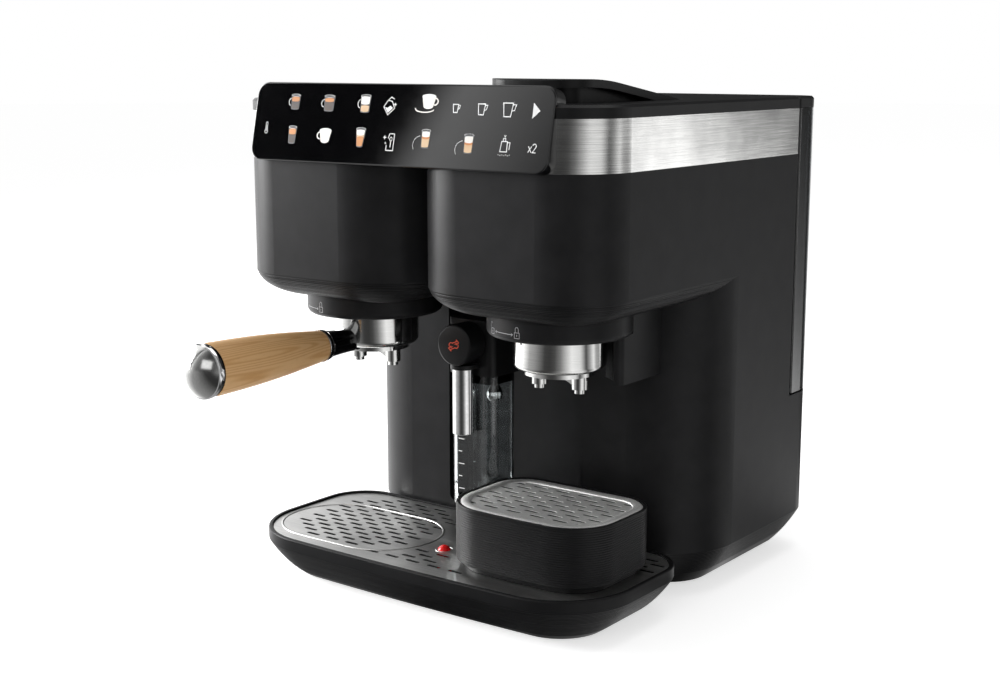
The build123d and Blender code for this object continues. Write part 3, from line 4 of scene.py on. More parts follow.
import bmesh
import bpy
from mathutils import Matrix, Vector


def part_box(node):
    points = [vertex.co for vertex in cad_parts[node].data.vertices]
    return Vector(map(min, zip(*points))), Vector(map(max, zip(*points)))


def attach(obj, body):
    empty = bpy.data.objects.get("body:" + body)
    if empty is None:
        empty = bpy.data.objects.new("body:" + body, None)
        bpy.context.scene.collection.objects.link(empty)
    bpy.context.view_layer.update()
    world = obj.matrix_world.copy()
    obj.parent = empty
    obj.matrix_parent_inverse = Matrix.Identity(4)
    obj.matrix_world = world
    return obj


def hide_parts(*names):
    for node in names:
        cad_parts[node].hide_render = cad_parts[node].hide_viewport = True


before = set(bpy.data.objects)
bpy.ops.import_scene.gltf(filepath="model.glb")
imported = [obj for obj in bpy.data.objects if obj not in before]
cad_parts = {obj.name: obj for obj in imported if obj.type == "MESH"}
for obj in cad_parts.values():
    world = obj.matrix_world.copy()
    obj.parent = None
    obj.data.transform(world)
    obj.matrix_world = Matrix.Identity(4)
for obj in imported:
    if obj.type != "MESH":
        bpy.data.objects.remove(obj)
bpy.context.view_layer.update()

bl_info = {
    "name": "Coffee machine finishes",
    "version": (1, 0, 0),
    "blender": (4, 5, 0),
    "location": "View3D > Sidebar > Coffee machine",
    "description": "Dresses a two-group coffee machine: ribbed mouldings, steel, oak and touch panel",
    "category": "Object",
}

MM = 0.001


# ---- places and sizes in millimetres, read from the frame
def limits(node):
    """A node's (x0, x1, y0, y1, z0, z1) in millimetres."""
    low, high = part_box(node)
    return [value / MM for pair in zip(low, high) for value in pair]


SHELL = limits("head_shell")
COLUMN = limits("column_shell")
CHIN = limits("chin_right")
SKIRT = limits("base_skirt")
TRAY = limits("tray_body")
TRAY_SHEET = limits("tray_plate")
STAND = limits("stand_body")
STAND_SHEET = limits("stand_plate")
CUP = limits("cup_right")
COLLAR = limits("collar_right")
GRIP = limits("grip")
RING = limits("grip_ring")
CAP = limits("grip_cap")
KNOB = limits("milk_knob")
SPOUT_TUBE = limits("milk_spout")
FLOAT = limits("tray_float")
GLASS = limits("panel_glass")
JAR = limits("milk_jar")

HALF_WIDTH = SHELL[1]
HEAD_FRONT_Y = SHELL[2]
COLUMN_FRONT_Y = COLUMN[2]
GROUP_X = (COLLAR[0] + COLLAR[1]) / 2
GROUP_Y = (COLLAR[2] + COLLAR[3]) / 2
COLLAR_RADIUS = (COLLAR[1] - COLLAR[0]) / 2
CUP_RADIUS = (CUP[3] - CUP[2]) / 2
HANDLE_Z = (GRIP[4] + GRIP[5]) / 2

# ---- sizes that the frame's boxes don't give, in millimetres
HEAD_BOW = 1.2
BARREL_GAP = 4.0
BARREL_OUTER_RADIUS = 42.0
BARREL_INNER_RADIUS = 48.0
COLUMN_FRONT_RADIUS = 55.0
BACK_RADIUS = 25.0
SHELL_WALL = 3.0
CHIN_INSET = 34.0
CHIN_ARC = (5.5, 77.0)      # each curved moulding follows an arc between two angles, in degrees
CHIN_RIBBED = 0.8           # the share of a moulding's length that is ribbed, from its top
CHIN_RINGS = 110            # rings down a moulding, close enough together to carry its ribs
CHIN_ROOM_INSET = 26.0
CHIN_BORE = 34.0
SKIRT_INSET = 21.5
SKIRT_ARC = (42.0, 60.0)
SKIRT_RIBBED = 0.62
SKIRT_RINGS = 130
TRAY_INSET = 24.0
TRAY_BOW = 4.0
TRAY_ARC = (52.6, 72.3)
TRAY_RIBBED = 0.8
TRAY_RINGS = 110
TRAY_FRONT_RADIUS = 56.0
TRAY_BACK_RADIUS = 33.0
TRAY_LIP = 8.4
TRAY_WALL = 3.2
TRAY_LEDGE = 2.6            # how far a plate's seat reaches in from the wall
TRAY_RIM = 1.2
TRAY_UNDER_Z = 6.3
TRAY_FLOOR_Z = 9.3
STAND_FRONT_RADIUS = 34.0
STAND_BACK_RADIUS = 26.0
STAND_BOW = 3.0
STAND_RINGS = 150
STAND_WALL = 2.4
STAND_LEDGE = 2.2
STAND_RIM = 0.9
STAND_FOOT_HEIGHT = 5.0
STAND_FOOT_INSET = 6.0
SEAT_GAP = 0.3
SHEET = 1.2                 # from a plate's top to its seat
PRESSED = 0.45              # the pressed sheet itself, so that a slot shows the dark below
PANEL_HEIGHT = 52.5
PANEL_RADIUS = 9.0
PANEL_TILT = 12.4
GLASS_THICKNESS = 1.6
NECK_ROOT_RADIUS = 8.5
NECK_END_RADIUS = 10.8
GRIP_RADIUS = 17.6
GRIP_SWELL = 1.4
CUP_WALL = 1.6
CUP_EDGE = 4.0              # the round between a cup's bottom and its wall

CORNER_STEPS = 14           # points round a corner of a moulding
SMOOTH_ANGLE = 32           # edges sharper than this many degrees stay sharp
PLAIN = -1.0                # stands for a ring's distance along the ribs where there are none
SIDES = {"left": -1, "right": 1}


# ---- nodes, materials and trees
def linear(code):
    """An sRGB hex colour as linear red, green, blue and alpha."""
    channels = [int(code[i:i + 2], 16) / 255 for i in (0, 2, 4)]
    return [c / 12.92 if c <= 0.04045 else ((c + 0.055) / 1.055) ** 2.4 for c in channels] + [1.0]


def add_node(tree, kind, inputs=None, **settings):
    """Adds a node; each input is a value, another node's output, or a node, for its first output."""
    made = tree.nodes.new(kind)
    for name, value in settings.items():
        setattr(made, name, value)
    for key, value in (inputs or {}).items():
        if isinstance(value, bpy.types.Node):
            value = value.outputs[0]
        if isinstance(value, bpy.types.NodeSocket):
            tree.links.new(value, made.inputs[key])
        else:
            made.inputs[key].default_value = value
    return made


def calc(tree, operation, *values):
    """A math node on up to three values."""
    return add_node(tree, "ShaderNodeMath", dict(enumerate(values)), operation=operation)


def blank_material(name):
    """A new material and its empty tree."""
    material = bpy.data.materials.new(name)
    material.use_nodes = True
    material.node_tree.nodes.clear()
    return material, material.node_tree


def principled(material, tree, inputs):
    """The material, closed with one shader of those inputs."""
    shader = add_node(tree, "ShaderNodeBsdfPrincipled", inputs)
    add_node(tree, "ShaderNodeOutputMaterial", {"Surface": shader})
    return material


def pattern(tree, scale, detail=2.0, roughness=0.5):
    """Noise on object coordinates; scale gives features per metre along X, Y and Z."""
    place = add_node(tree, "ShaderNodeTexCoord")
    mapping = add_node(tree, "ShaderNodeMapping", {"Vector": place.outputs["Object"], "Scale": scale})
    return add_node(tree, "ShaderNodeTexNoise", {"Vector": mapping, "Scale": 1.0, "Detail": detail,
                                                 "Roughness": roughness})


def between(tree, factor, low, high, start=0.0, end=1.0):
    """A number that goes from low to high as a factor goes from start to end."""
    return add_node(tree, "ShaderNodeMapRange", {"Value": factor, "From Min": start, "From Max": end,
                                                 "To Min": low, "To Max": high})


def shades(tree, factor, dark, light, start=0.3, end=0.7):
    """A colour that follows a factor from one hex colour to another."""
    ramp = add_node(tree, "ShaderNodeValToRGB", {"Fac": factor})
    for stop, place, code in zip(ramp.color_ramp.elements, (start, end), (dark, light)):
        stop.position = place
        stop.color = linear(code)
    return ramp


def blend(tree, factor, first, second):
    """A colour from first to second by a factor from 0 to 1."""
    made = add_node(tree, "ShaderNodeMix", {"Factor": factor, "A": first, "B": second}, data_type="RGBA")
    return made.outputs[2]


def mixed(tree, factor, first, second):
    """A shader from first to second by a factor from 0 to 1."""
    return add_node(tree, "ShaderNodeMixShader", {0: factor, 1: first, 2: second})


def relief(tree, height, strength, distance=0.0001):
    """Fine relief that follows a factor, at most that many metres deep."""
    return add_node(tree, "ShaderNodeBump", {"Height": height, "Strength": strength, "Distance": distance})


def moulded(name, dark, light, grain, rough_low, rough_high, bump, ior=1.5, specular=0.5, coat=0.0):
    """Moulded plastic: spark-eroded grain of that many features per metre, uneven gloss, slight mottle."""
    material, tree = blank_material(name)
    mottle = pattern(tree, (60, 60, 60), detail=3.0)
    spark = pattern(tree, (grain, grain, grain), detail=3.0, roughness=0.6)
    return principled(material, tree, {
        "Base Color": shades(tree, mottle, dark, light),
        "Roughness": between(tree, spark, rough_low, rough_high),
        "IOR": ior, "Specular IOR Level": specular, "Coat Weight": coat, "Coat Roughness": 0.06,
        "Normal": relief(tree, spark, bump)})


def printed(name, dark, light):
    """Screen-printed ink: flat, slightly uneven in strength."""
    return moulded(name, dark, light, 3000, 0.45, 0.6, 0.05)


def steel(name, dark, light, streaks, rough_low, rough_high, bump, anisotropy=0.0):
    """Metal with polishing marks; streaks gives their number per metre along X, Y and Z."""
    material, tree = blank_material(name)
    marks = pattern(tree, streaks, detail=4.0, roughness=0.65)
    cloud = pattern(tree, (25, 25, 25))
    tone = calc(tree, "MULTIPLY", calc(tree, "MULTIPLY", marks, cloud), 2.0)
    return principled(material, tree, {
        "Base Color": shades(tree, tone, dark, light, 0.2, 0.8),
        "Roughness": between(tree, marks, rough_low, rough_high),
        "Metallic": 1.0, "Anisotropic": anisotropy, "Normal": relief(tree, marks, bump, 0.00005)})


def clear(name, dark, light, rough_low, rough_high):
    """Clear moulded plastic with faint flow marks."""
    material, tree = blank_material(name)
    flow = pattern(tree, (40, 40, 160))
    return principled(material, tree, {
        "Base Color": shades(tree, flow, dark, light),
        "Roughness": between(tree, flow, rough_low, rough_high), "Transmission Weight": 1.0, "IOR": 1.54})


def oak(name):
    """Oiled oak, turned: long grain with pores along the handle and a satin sheen."""
    material, tree = blank_material(name)
    # Growth rings cut lengthways show as long uneven arches, a few millimetres apart.
    growth = pattern(tree, (46, 1.7, 46), detail=1.5, roughness=0.4)
    rings = calc(tree, "SINE", calc(tree, "MULTIPLY", growth, 150.0))
    wood = shades(tree, calc(tree, "MULTIPLY_ADD", rings, 0.5, 0.5), "d4a066", "e8bd88", 0.0, 0.65)
    # Pores are 0.2 mm wide and several long.
    pores = pattern(tree, (2600, 110, 2600), roughness=0.6)
    fibre = pattern(tree, (900, 22, 900), detail=4.0, roughness=0.7)
    pored = blend(tree, between(tree, pores, 0.0, 0.4, 0.62, 0.74), wood, linear("9a6434"))
    toned = blend(tree, between(tree, fibre, 0.0, 0.5), pored, linear("e0ae76"))
    return principled(material, tree, {
        "Base Color": toned, "Roughness": between(tree, fibre, 0.38, 0.55), "IOR": 1.45,
        "Specular IOR Level": 0.4, "Normal": relief(tree, fibre, 0.12)})


# Each finish's maker and values: what it really is, and what that gives the eye.
FINISHES = {
    # Moulded ABS with a spark-eroded surface: dark charcoal, soft wide highlights. Grit about 0.4 mm.
    "eroded_abs": (moulded, "1b1b1c", "212122", 2400, 0.32, 0.44, 0.25, 1.45, 0.15),
    # The same ABS in its ribbed places, a touch darker where light doesn't reach between ribs.
    "ribbed_abs": (moulded, "151516", "1a1a1b", 2400, 0.32, 0.44, 0.15, 1.45, 0.15),
    # Satin black ABS of the top, the milk unit and the recess: smoother, so its highlights are tighter.
    "satin_abs": (moulded, "121213", "171718", 3200, 0.28, 0.4, 0.12, 1.45, 0.22),
    # Piano-black ABS of the panel's housing: a mirror-like black.
    "gloss_abs": (moulded, "060607", "09090a", 900, 0.06, 0.1, 0.02, 1.5, 0.5, 0.3),
    # Tempered touch glass, black behind: sharp reflections with the faintest smear.
    "black_glass": (moulded, "040405", "060607", 120, 0.03, 0.07, 0.0, 1.52),
    # Stainless sheet brushed lengthways, with strokes about 0.5 mm apart that show as horizontal streaks.
    "brushed_steel": (steel, "b2b2b1", "f2f2f0", (24, 24, 2000), 0.08, 0.2, 0.35, 0.3),
    # Stainless sheet pressed and finely brushed along X: satin, with a soft reflection.
    "satin_steel": (steel, "c4c4c3", "f0f0ee", (30, 1400, 1400), 0.26, 0.4, 0.2, 0.3),
    # Turned and polished stainless steel: near mirror, with hairlines round the axis.
    "turned_steel": (steel, "cececd", "e6e6e4", (60, 60, 2600), 0.08, 0.14, 0.04),
    # The cap's spun dome: satin, with a soft bright patch that fades to its rim.
    "spun_steel": (steel, "b0b0af", "d2d2d0", (1400, 60, 1400), 0.13, 0.22, 0.1),
    # Bead-blasted sheet of the stand's plate: an even pale grey whatever stands behind it.
    "blasted_steel": (steel, "d8d8d7", "f4f4f2", (900, 900, 900), 0.5, 0.64, 0.3),
    # Bright chrome over brass: a clean mirror.
    "chrome": (steel, "d4d4d4", "ececec", (400, 400, 400), 0.03, 0.07, 0.02),
    # Sand-cast aluminium of the groups: dull grey with pits about 1 mm apart.
    "cast_aluminium": (steel, "77777a", "a2a2a4", (900, 900, 900), 0.45, 0.65, 0.6),
    # Clear co-polyester: glassy, with a slight smoke tint.
    "clear_plastic": (clear, "d6dadb", "e6eaeb", 0.01, 0.04),
    # Smoke-tinted clear plastic of the water tank.
    "smoked_plastic": (clear, "383b3d", "434648", 0.03, 0.08),
    # Nitrile rubber: dead matt, bluish black.
    "nitrile": (moulded, "121315", "18191b", 1500, 0.75, 0.9, 0.4, 1.45, 0.3),
    # Red polypropylene float: bright and glossy.
    "red_pp": (moulded, "d81414", "ee2020", 500, 0.15, 0.24, 0.03),
    # Glass-epoxy circuit board: green, with a woven mottle.
    "circuit_board": (moulded, "0f3d22", "18552f", 700, 0.35, 0.5, 0.1),
    # Oiled oak of the grip: warm, with visible grain.
    "oiled_oak": (oak,),
    # Screen-printed inks: flat colours that don't shine.
    "ink_white": (printed, "dcdcdc", "f4f4f4"),
    "ink_grey": (printed, "8c8c8e", "a4a4a6"),
    "ink_orange": (printed, "cf431d", "e8542a"),
    "ink_coffee": (printed, "24140c", "3b2416"),
    "ink_crema": (printed, "b06a2c", "d08a45"),
    "ink_latte": (printed, "c09a70", "dcbf9a"),
    "ink_milk": (printed, "dedad4", "f2efea"),
    "ink_dark": (printed, "3a3a3c", "4c4c4e"),
}


def finish(name):
    """The material of that name, made the first time it is asked for."""
    maker, *values = FINISHES[name]
    return bpy.data.materials.get(name) or maker(name, *values)


# ---- meshes
def as_object(name, mesh):
    """A mesh as an object in the scene."""
    made = bpy.data.objects.new(name, mesh)
    bpy.context.scene.collection.objects.link(made)
    return made


def smooth(mesh, angle=SMOOTH_ANGLE):
    """Shades a mesh smooth and keeps edges past the angle sharp."""
    mesh.shade_smooth()
    mesh.set_sharp_from_angle(angle=radians(angle))


def solid(name, vertices, faces, angle=SMOOTH_ANGLE):
    """A mesh object from vertices in millimetres, its doubles merged and its faces turned outwards."""
    mesh = bpy.data.meshes.new(name)
    mesh.from_pydata([[value * MM for value in vertex] for vertex in vertices], [], faces)
    shape = bmesh.new()
    shape.from_mesh(mesh)
    bmesh.ops.remove_doubles(shape, verts=shape.verts, dist=1e-7)
    bmesh.ops.recalc_face_normals(shape, faces=shape.faces)
    shape.to_mesh(mesh)
    shape.free()
    smooth(mesh, angle)
    return as_object(name, mesh)


def lofted(name, rings, closed=True):
    """A skin through rings; a closed one joins its ends, an open one gets a flat face on each."""
    count = len(rings[0])
    vertices = [point for ring in rings for point in ring]
    pairs = [(i, i + 1) for i in range(len(rings) - 1)]
    if closed:
        pairs.append((len(rings) - 1, 0))
    faces = []
    for low, high in pairs:
        for i in range(count):
            j = (i + 1) % count
            faces.append((low * count + i, low * count + j, high * count + j, high * count + i))
    if not closed:
        faces += [tuple(range(count)), tuple(range(len(vertices) - count, len(vertices)))]
    return solid(name, vertices, faces)


def turned(name, profile, centre, axis="Z", steps=72):
    """A solid turned about an axis through centre, from (distance along it, radius) points."""
    rings = []
    for along, radius in profile:
        ring = []
        for i in range(steps):
            a = 2 * pi * i / steps
            across, up = radius * cos(a), radius * sin(a)
            if axis == "Z":
                ring.append((centre[0] + across, centre[1] + up, centre[2] + along))
            else:
                ring.append((centre[0] + across, centre[1] - along, centre[2] + up))
        rings.append(ring)
    return lofted(name, rings)


def joined(name, pieces):
    """Several mesh objects made into one."""
    shape = bmesh.new()
    for piece in pieces:
        shape.from_mesh(piece.data)
        bpy.data.objects.remove(piece)
    mesh = bpy.data.meshes.new(name)
    shape.to_mesh(mesh)
    shape.free()
    smooth(mesh)
    return as_object(name, mesh)


def dress(piece, body, material, slot, *replaced):
    """Gives a finished piece its material and body, and hides the nodes it stands for. Its slot argument is
    not used.
    """
    piece.data.materials.clear()
    piece.data.materials.append(finish(material))
    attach(piece, body)
    if replaced:
        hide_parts(*replaced)


# ---- outlines, as lists of (x, y) with the same count at every inset
def arc(x, y, radius, start, end, steps=CORNER_STEPS):
    """Points round an arc, by angles in degrees."""
    turns = [radians(start + (end - start) * i / steps) for i in range(steps + 1)]
    return [(x + radius * cos(a), y + radius * sin(a)) for a in turns]


def rounded_plan(x0, x1, y0, y1, front_radius, back_radius, bow, bow_half):
    """A plan with four rounded corners and a bowed front, from its front left round to its back left."""
    middle = (x0 + x1) / 2

    def front_y(x):
        return y0 + bow * min(1.0, abs(x - middle) / bow_half) ** 2

    left = (x0 + front_radius, front_y(x0 + front_radius) + front_radius)
    right = (x1 - front_radius, front_y(x1 - front_radius) + front_radius)
    points = arc(*left, front_radius, 180, 270)
    for i in range(1, 12):
        x = left[0] + (right[0] - left[0]) * i / 12
        points.append((x, front_y(x)))
    points += arc(*right, front_radius, 270, 360)
    points += arc(x1 - back_radius, y1 - back_radius, back_radius, 0, 90)
    points += arc(x0 + back_radius, y1 - back_radius, back_radius, 90, 180)
    return points


def outline_of(box, front_radius, back_radius, bow, bow_half):
    """The outline of a moulding from its box, as a function of the inset."""
    def outline(inset):
        return rounded_plan(box[0] + inset, box[1] - inset, box[2] + inset, box[3] - inset,
                            max(front_radius - inset, 1.0), max(back_radius - inset, 1.0), bow, bow_half)
    return outline


tray_outline = outline_of(TRAY, TRAY_FRONT_RADIUS, TRAY_BACK_RADIUS, TRAY_BOW, HALF_WIDTH)
stand_outline = outline_of(STAND, STAND_FRONT_RADIUS, STAND_BACK_RADIUS, STAND_BOW,
                           (STAND[1] - STAND[0]) / 2)
column_outline = outline_of(COLUMN, COLUMN_FRONT_RADIUS, BACK_RADIUS, 0.0, HALF_WIDTH)


def chin_end_y(inset):
    """Where a chin's outer side, at this inset, meets the column's round corner."""
    across = COLUMN_FRONT_RADIUS - inset
    return COLUMN_FRONT_Y + COLUMN_FRONT_RADIUS - sqrt(COLUMN_FRONT_RADIUS ** 2 - across ** 2)


def chin_outline(side, inset):
    """One barrel's outline below the crease, ending just inside the column."""
    seat = 1.0
    inner_x = BARREL_GAP / 2 + inset
    outer_x = HALF_WIDTH - inset
    inner_radius = BARREL_INNER_RADIUS - inset
    outer_radius = BARREL_OUTER_RADIUS - inset
    front = HEAD_FRONT_Y + inset + HEAD_BOW / 2
    start, end = inner_x + inner_radius, outer_x - outer_radius
    inner_y, outer_y = front + inner_radius, front + outer_radius
    end_y = chin_end_y(inset) + seat
    points = [(inner_x, COLUMN_FRONT_Y + seat)]
    points += [(inner_x, COLUMN_FRONT_Y + (inner_y - COLUMN_FRONT_Y) * i / 6) for i in range(1, 6)]
    points += arc(start, inner_y, inner_radius, 180, 270)
    points += [(start + (end - start) * i / 6, front - HEAD_BOW / 2 * sin(pi * i / 6)) for i in range(1, 6)]
    points += arc(end, outer_y, outer_radius, 270, 360)
    points += [(outer_x, outer_y + (end_y - outer_y) * i / 8) for i in range(1, 9)]
    return [(side * x, y) for x, y in points]


def mould_curve(z_top, z_bottom, inset, steps, ends):
    """(inset, z, distance) down a moulding that follows an arc between two angles, evenly along it."""
    fine = 400
    first, last = [radians(angle) for angle in ends]
    path = []
    length = 0.0
    for i in range(fine + 1):
        a = first + (last - first) * i / fine
        across = inset * (cos(first) - cos(a)) / (cos(first) - cos(last))
        z = z_top - (z_top - z_bottom) * (sin(a) - sin(first)) / (sin(last) - sin(first))
        if path:
            length += hypot(across - path[-1][0], z - path[-1][1])
        path.append((across, z, length))
    picked = []
    index = 0
    for i in range(steps + 1):
        goal = length * i / steps
        while index < fine and path[index][2] < goal:
            index += 1
        picked.append(path[index])
    return picked


# ---- rings, each with its distance along the ribs
def level(points, z):
    """An outline's points at one height."""
    return [(x, y, z) for x, y in points]


def plain(outline, *places):
    """Rings without ribs at each (inset, z)."""
    return [(level(outline(inset), z), PLAIN) for inset, z in places]


def round_rim(outline, top, rim, steps):
    """Rings over a rounded rim, from its crown out to its side."""
    turns = [radians(90 * i / steps) for i in range(steps + 1)]
    return plain(outline, *[(rim - rim * sin(a), top - rim + rim * cos(a)) for a in turns])


def down_curve(outline, curve, share):
    """Rings down a moulding's curve, ribbed over that share of its length from the top."""
    ribbed_length = curve[-1][2] * share
    return [(level(outline(inset), z), distance if distance < ribbed_length else PLAIN)
            for inset, z, distance in curve]


# ---- geometry trees
def new_tree(name, sockets):
    """A geometry tree with its named inputs, and its entry node."""
    tree = bpy.data.node_groups.new(name, "GeometryNodeTree")
    tree.interface.new_socket("Geometry", in_out="INPUT", socket_type="NodeSocketGeometry")
    for label in sockets:
        tree.interface.new_socket(label, in_out="INPUT", socket_type="NodeSocketFloat")
    tree.interface.new_socket("Material", in_out="INPUT", socket_type="NodeSocketMaterial")
    tree.interface.new_socket("Geometry", in_out="OUTPUT", socket_type="NodeSocketGeometry")
    return tree, add_node(tree, "NodeGroupInput")


def end_tree(tree, entry, geometry):
    """Closes a tree with real geometry in its material."""
    real = add_node(tree, "GeometryNodeRealizeInstances", {"Geometry": geometry})
    coated = add_node(tree, "GeometryNodeSetMaterial", {"Geometry": real,
                                                        "Material": entry.outputs["Material"]})
    add_node(tree, "NodeGroupOutput", {"Geometry": coated})
    return tree


def attribute_over(tree, name, least):
    """An attribute's value, and where it is over the least value."""
    value = add_node(tree, "GeometryNodeInputNamedAttribute", {"Name": name}, data_type="FLOAT")
    return value, add_node(tree, "FunctionNodeCompare", {"A": value, "B": least}, data_type="FLOAT",
                           operation="GREATER_THAN")


def all_of(tree, *parts):
    """Several geometries as one."""
    together = add_node(tree, "GeometryNodeJoinGeometry")
    for part in parts:
        tree.links.new(part.outputs[0], together.inputs["Geometry"])
    return together


def rib_tree():
    """Presses fine grooves into a skin at an even pitch along its rib_path attribute."""
    tree, entry = new_tree("fine_ribs", ("Rib Pitch", "Rib Depth"))
    along, ribbed_part = attribute_over(tree, "rib_path", 0.0)
    turns = calc(tree, "DIVIDE", along, entry.outputs["Rib Pitch"])
    wave = calc(tree, "COSINE", calc(tree, "MULTIPLY", turns, 2 * pi))
    groove = calc(tree, "POWER", calc(tree, "MULTIPLY_ADD", wave, 0.5, 0.5), 2.0)
    depth = calc(tree, "MULTIPLY", groove, entry.outputs["Rib Depth"])
    normal = add_node(tree, "GeometryNodeInputNormal")
    offset = add_node(tree, "ShaderNodeVectorMath", {
        0: normal, "Scale": calc(tree, "MULTIPLY", depth, -1.0)}, operation="SCALE")
    moved = add_node(tree, "GeometryNodeSetPosition", {
        "Geometry": entry, "Selection": ribbed_part, "Offset": offset})
    return end_tree(tree, entry, moved)


def slot_tree():
    """Fills a flat outline, cuts a slot or a round hole at each loose point, and gives it thickness."""
    tree, entry = new_tree("slotted_sheet", ("Slot Length", "Slot Width", "Hole Radius", "Thickness",
                                             "Underside"))
    edge = add_node(tree, "GeometryNodeMeshToCurve", {"Mesh": entry})
    capsule = add_node(tree, "GeometryNodeCurvePrimitiveQuadrilateral", {
        "Width": entry.outputs["Slot Length"], "Height": entry.outputs["Slot Width"]})
    # Just under half the width, so that the two round corners of a slot's end don't meet.
    end_radius = calc(tree, "MULTIPLY", entry.outputs["Slot Width"], 0.49)
    rounded = add_node(tree, "GeometryNodeFilletCurve", {"Curve": capsule, "Radius": end_radius, "Count": 4},
                       mode="POLY")
    circle = add_node(tree, "GeometryNodeCurvePrimitiveCircle", {
        "Resolution": 20, "Radius": entry.outputs["Hole Radius"]})
    cutters = []
    for kind, shape in (("slot", rounded), ("hole", circle)):
        chosen = attribute_over(tree, kind, 0.5)[1]
        places = add_node(tree, "GeometryNodeMeshToPoints", {"Mesh": entry, "Selection": chosen})
        copies = add_node(tree, "GeometryNodeInstanceOnPoints", {"Points": places, "Instance": shape})
        cutters.append(add_node(tree, "GeometryNodeRealizeInstances", {"Geometry": copies}))
    filled = add_node(tree, "GeometryNodeFillCurve", {"Curve": all_of(tree, edge, *cutters)},
                      mode="TRIANGLES")
    up = add_node(tree, "ShaderNodeCombineXYZ", {"Z": entry.outputs["Underside"]})
    lifted = add_node(tree, "GeometryNodeSetPosition", {"Geometry": filled, "Offset": up})
    raised = add_node(tree, "GeometryNodeExtrudeMesh", {
        "Mesh": lifted, "Offset": add_node(tree, "ShaderNodeCombineXYZ", {"Z": 1.0}),
        "Offset Scale": entry.outputs["Thickness"], "Individual": False}, mode="FACES")
    under = add_node(tree, "GeometryNodeFlipFaces", {"Mesh": lifted})
    whole = add_node(tree, "GeometryNodeMergeByDistance", {
        "Geometry": all_of(tree, raised, under), "Distance": 1e-7})
    return end_tree(tree, entry, whole)


def grown(name, source, tree_name, maker, values):
    """A source mesh put through a geometry tree, as a plain mesh object."""
    tree = bpy.data.node_groups.get(tree_name) or maker()
    modifier = source.modifiers.new("grow", "NODES")
    modifier.node_group = tree
    for item in tree.interface.items_tree:
        if item.item_type == "SOCKET" and item.in_out == "INPUT" and item.name in values:
            modifier[item.identifier] = values[item.name]
    graph = bpy.context.evaluated_depsgraph_get()
    mesh = bpy.data.meshes.new_from_object(source.evaluated_get(graph), depsgraph=graph)
    mesh.name = name
    bpy.data.objects.remove(source)
    return as_object(name, mesh)


def ribbed(name, rings):
    """A closed loft through (ring, distance along the ribs) pairs, with fine ribs pressed in."""
    sizes = bpy.context.scene.machine_sizes
    base = lofted(name + "_smooth", [ring for ring, path in rings])
    # Merging doubles may reorder vertices, so each finds its distance again by its place.
    attribute = base.data.attributes.new("rib_path", "FLOAT", "POINT")
    known = {tuple(round(value, 3) for value in point): path for ring, path in rings for point in ring}
    for vertex in base.data.vertices:
        key = tuple(round(value / MM, 3) for value in vertex.co)
        attribute.data[vertex.index].value = known.get(key, PLAIN) * MM
    return grown(name, base, "fine_ribs", rib_tree, {
        "Rib Pitch": sizes.rib_pitch, "Rib Depth": sizes.rib_depth, "Material": finish("ribbed_abs")})


def slotted(name, outline, slots, holes, underside):
    """A flat sheet with slots and round holes cut at their centres."""
    sizes = bpy.context.scene.machine_sizes
    count = len(outline)
    mesh = bpy.data.meshes.new(name + "_outline")
    mesh.from_pydata([(x * MM, y * MM, 0.0) for x, y in outline + slots + holes],
                     [(i, (i + 1) % count) for i in range(count)], [])
    for kind, first, number in (("slot", count, len(slots)), ("hole", count + len(slots), len(holes))):
        attribute = mesh.attributes.new(kind, "FLOAT", "POINT")
        for i in range(first, first + number):
            attribute.data[i].value = 1.0
    made = grown(name, as_object(name + "_outline", mesh), "slotted_sheet", slot_tree, {
        "Slot Length": sizes.slot_length, "Slot Width": sizes.slot_width, "Hole Radius": sizes.hole_radius,
        "Thickness": PRESSED * MM, "Underside": underside * MM, "Material": finish("satin_steel")})
    made.data.shade_flat()
    return made


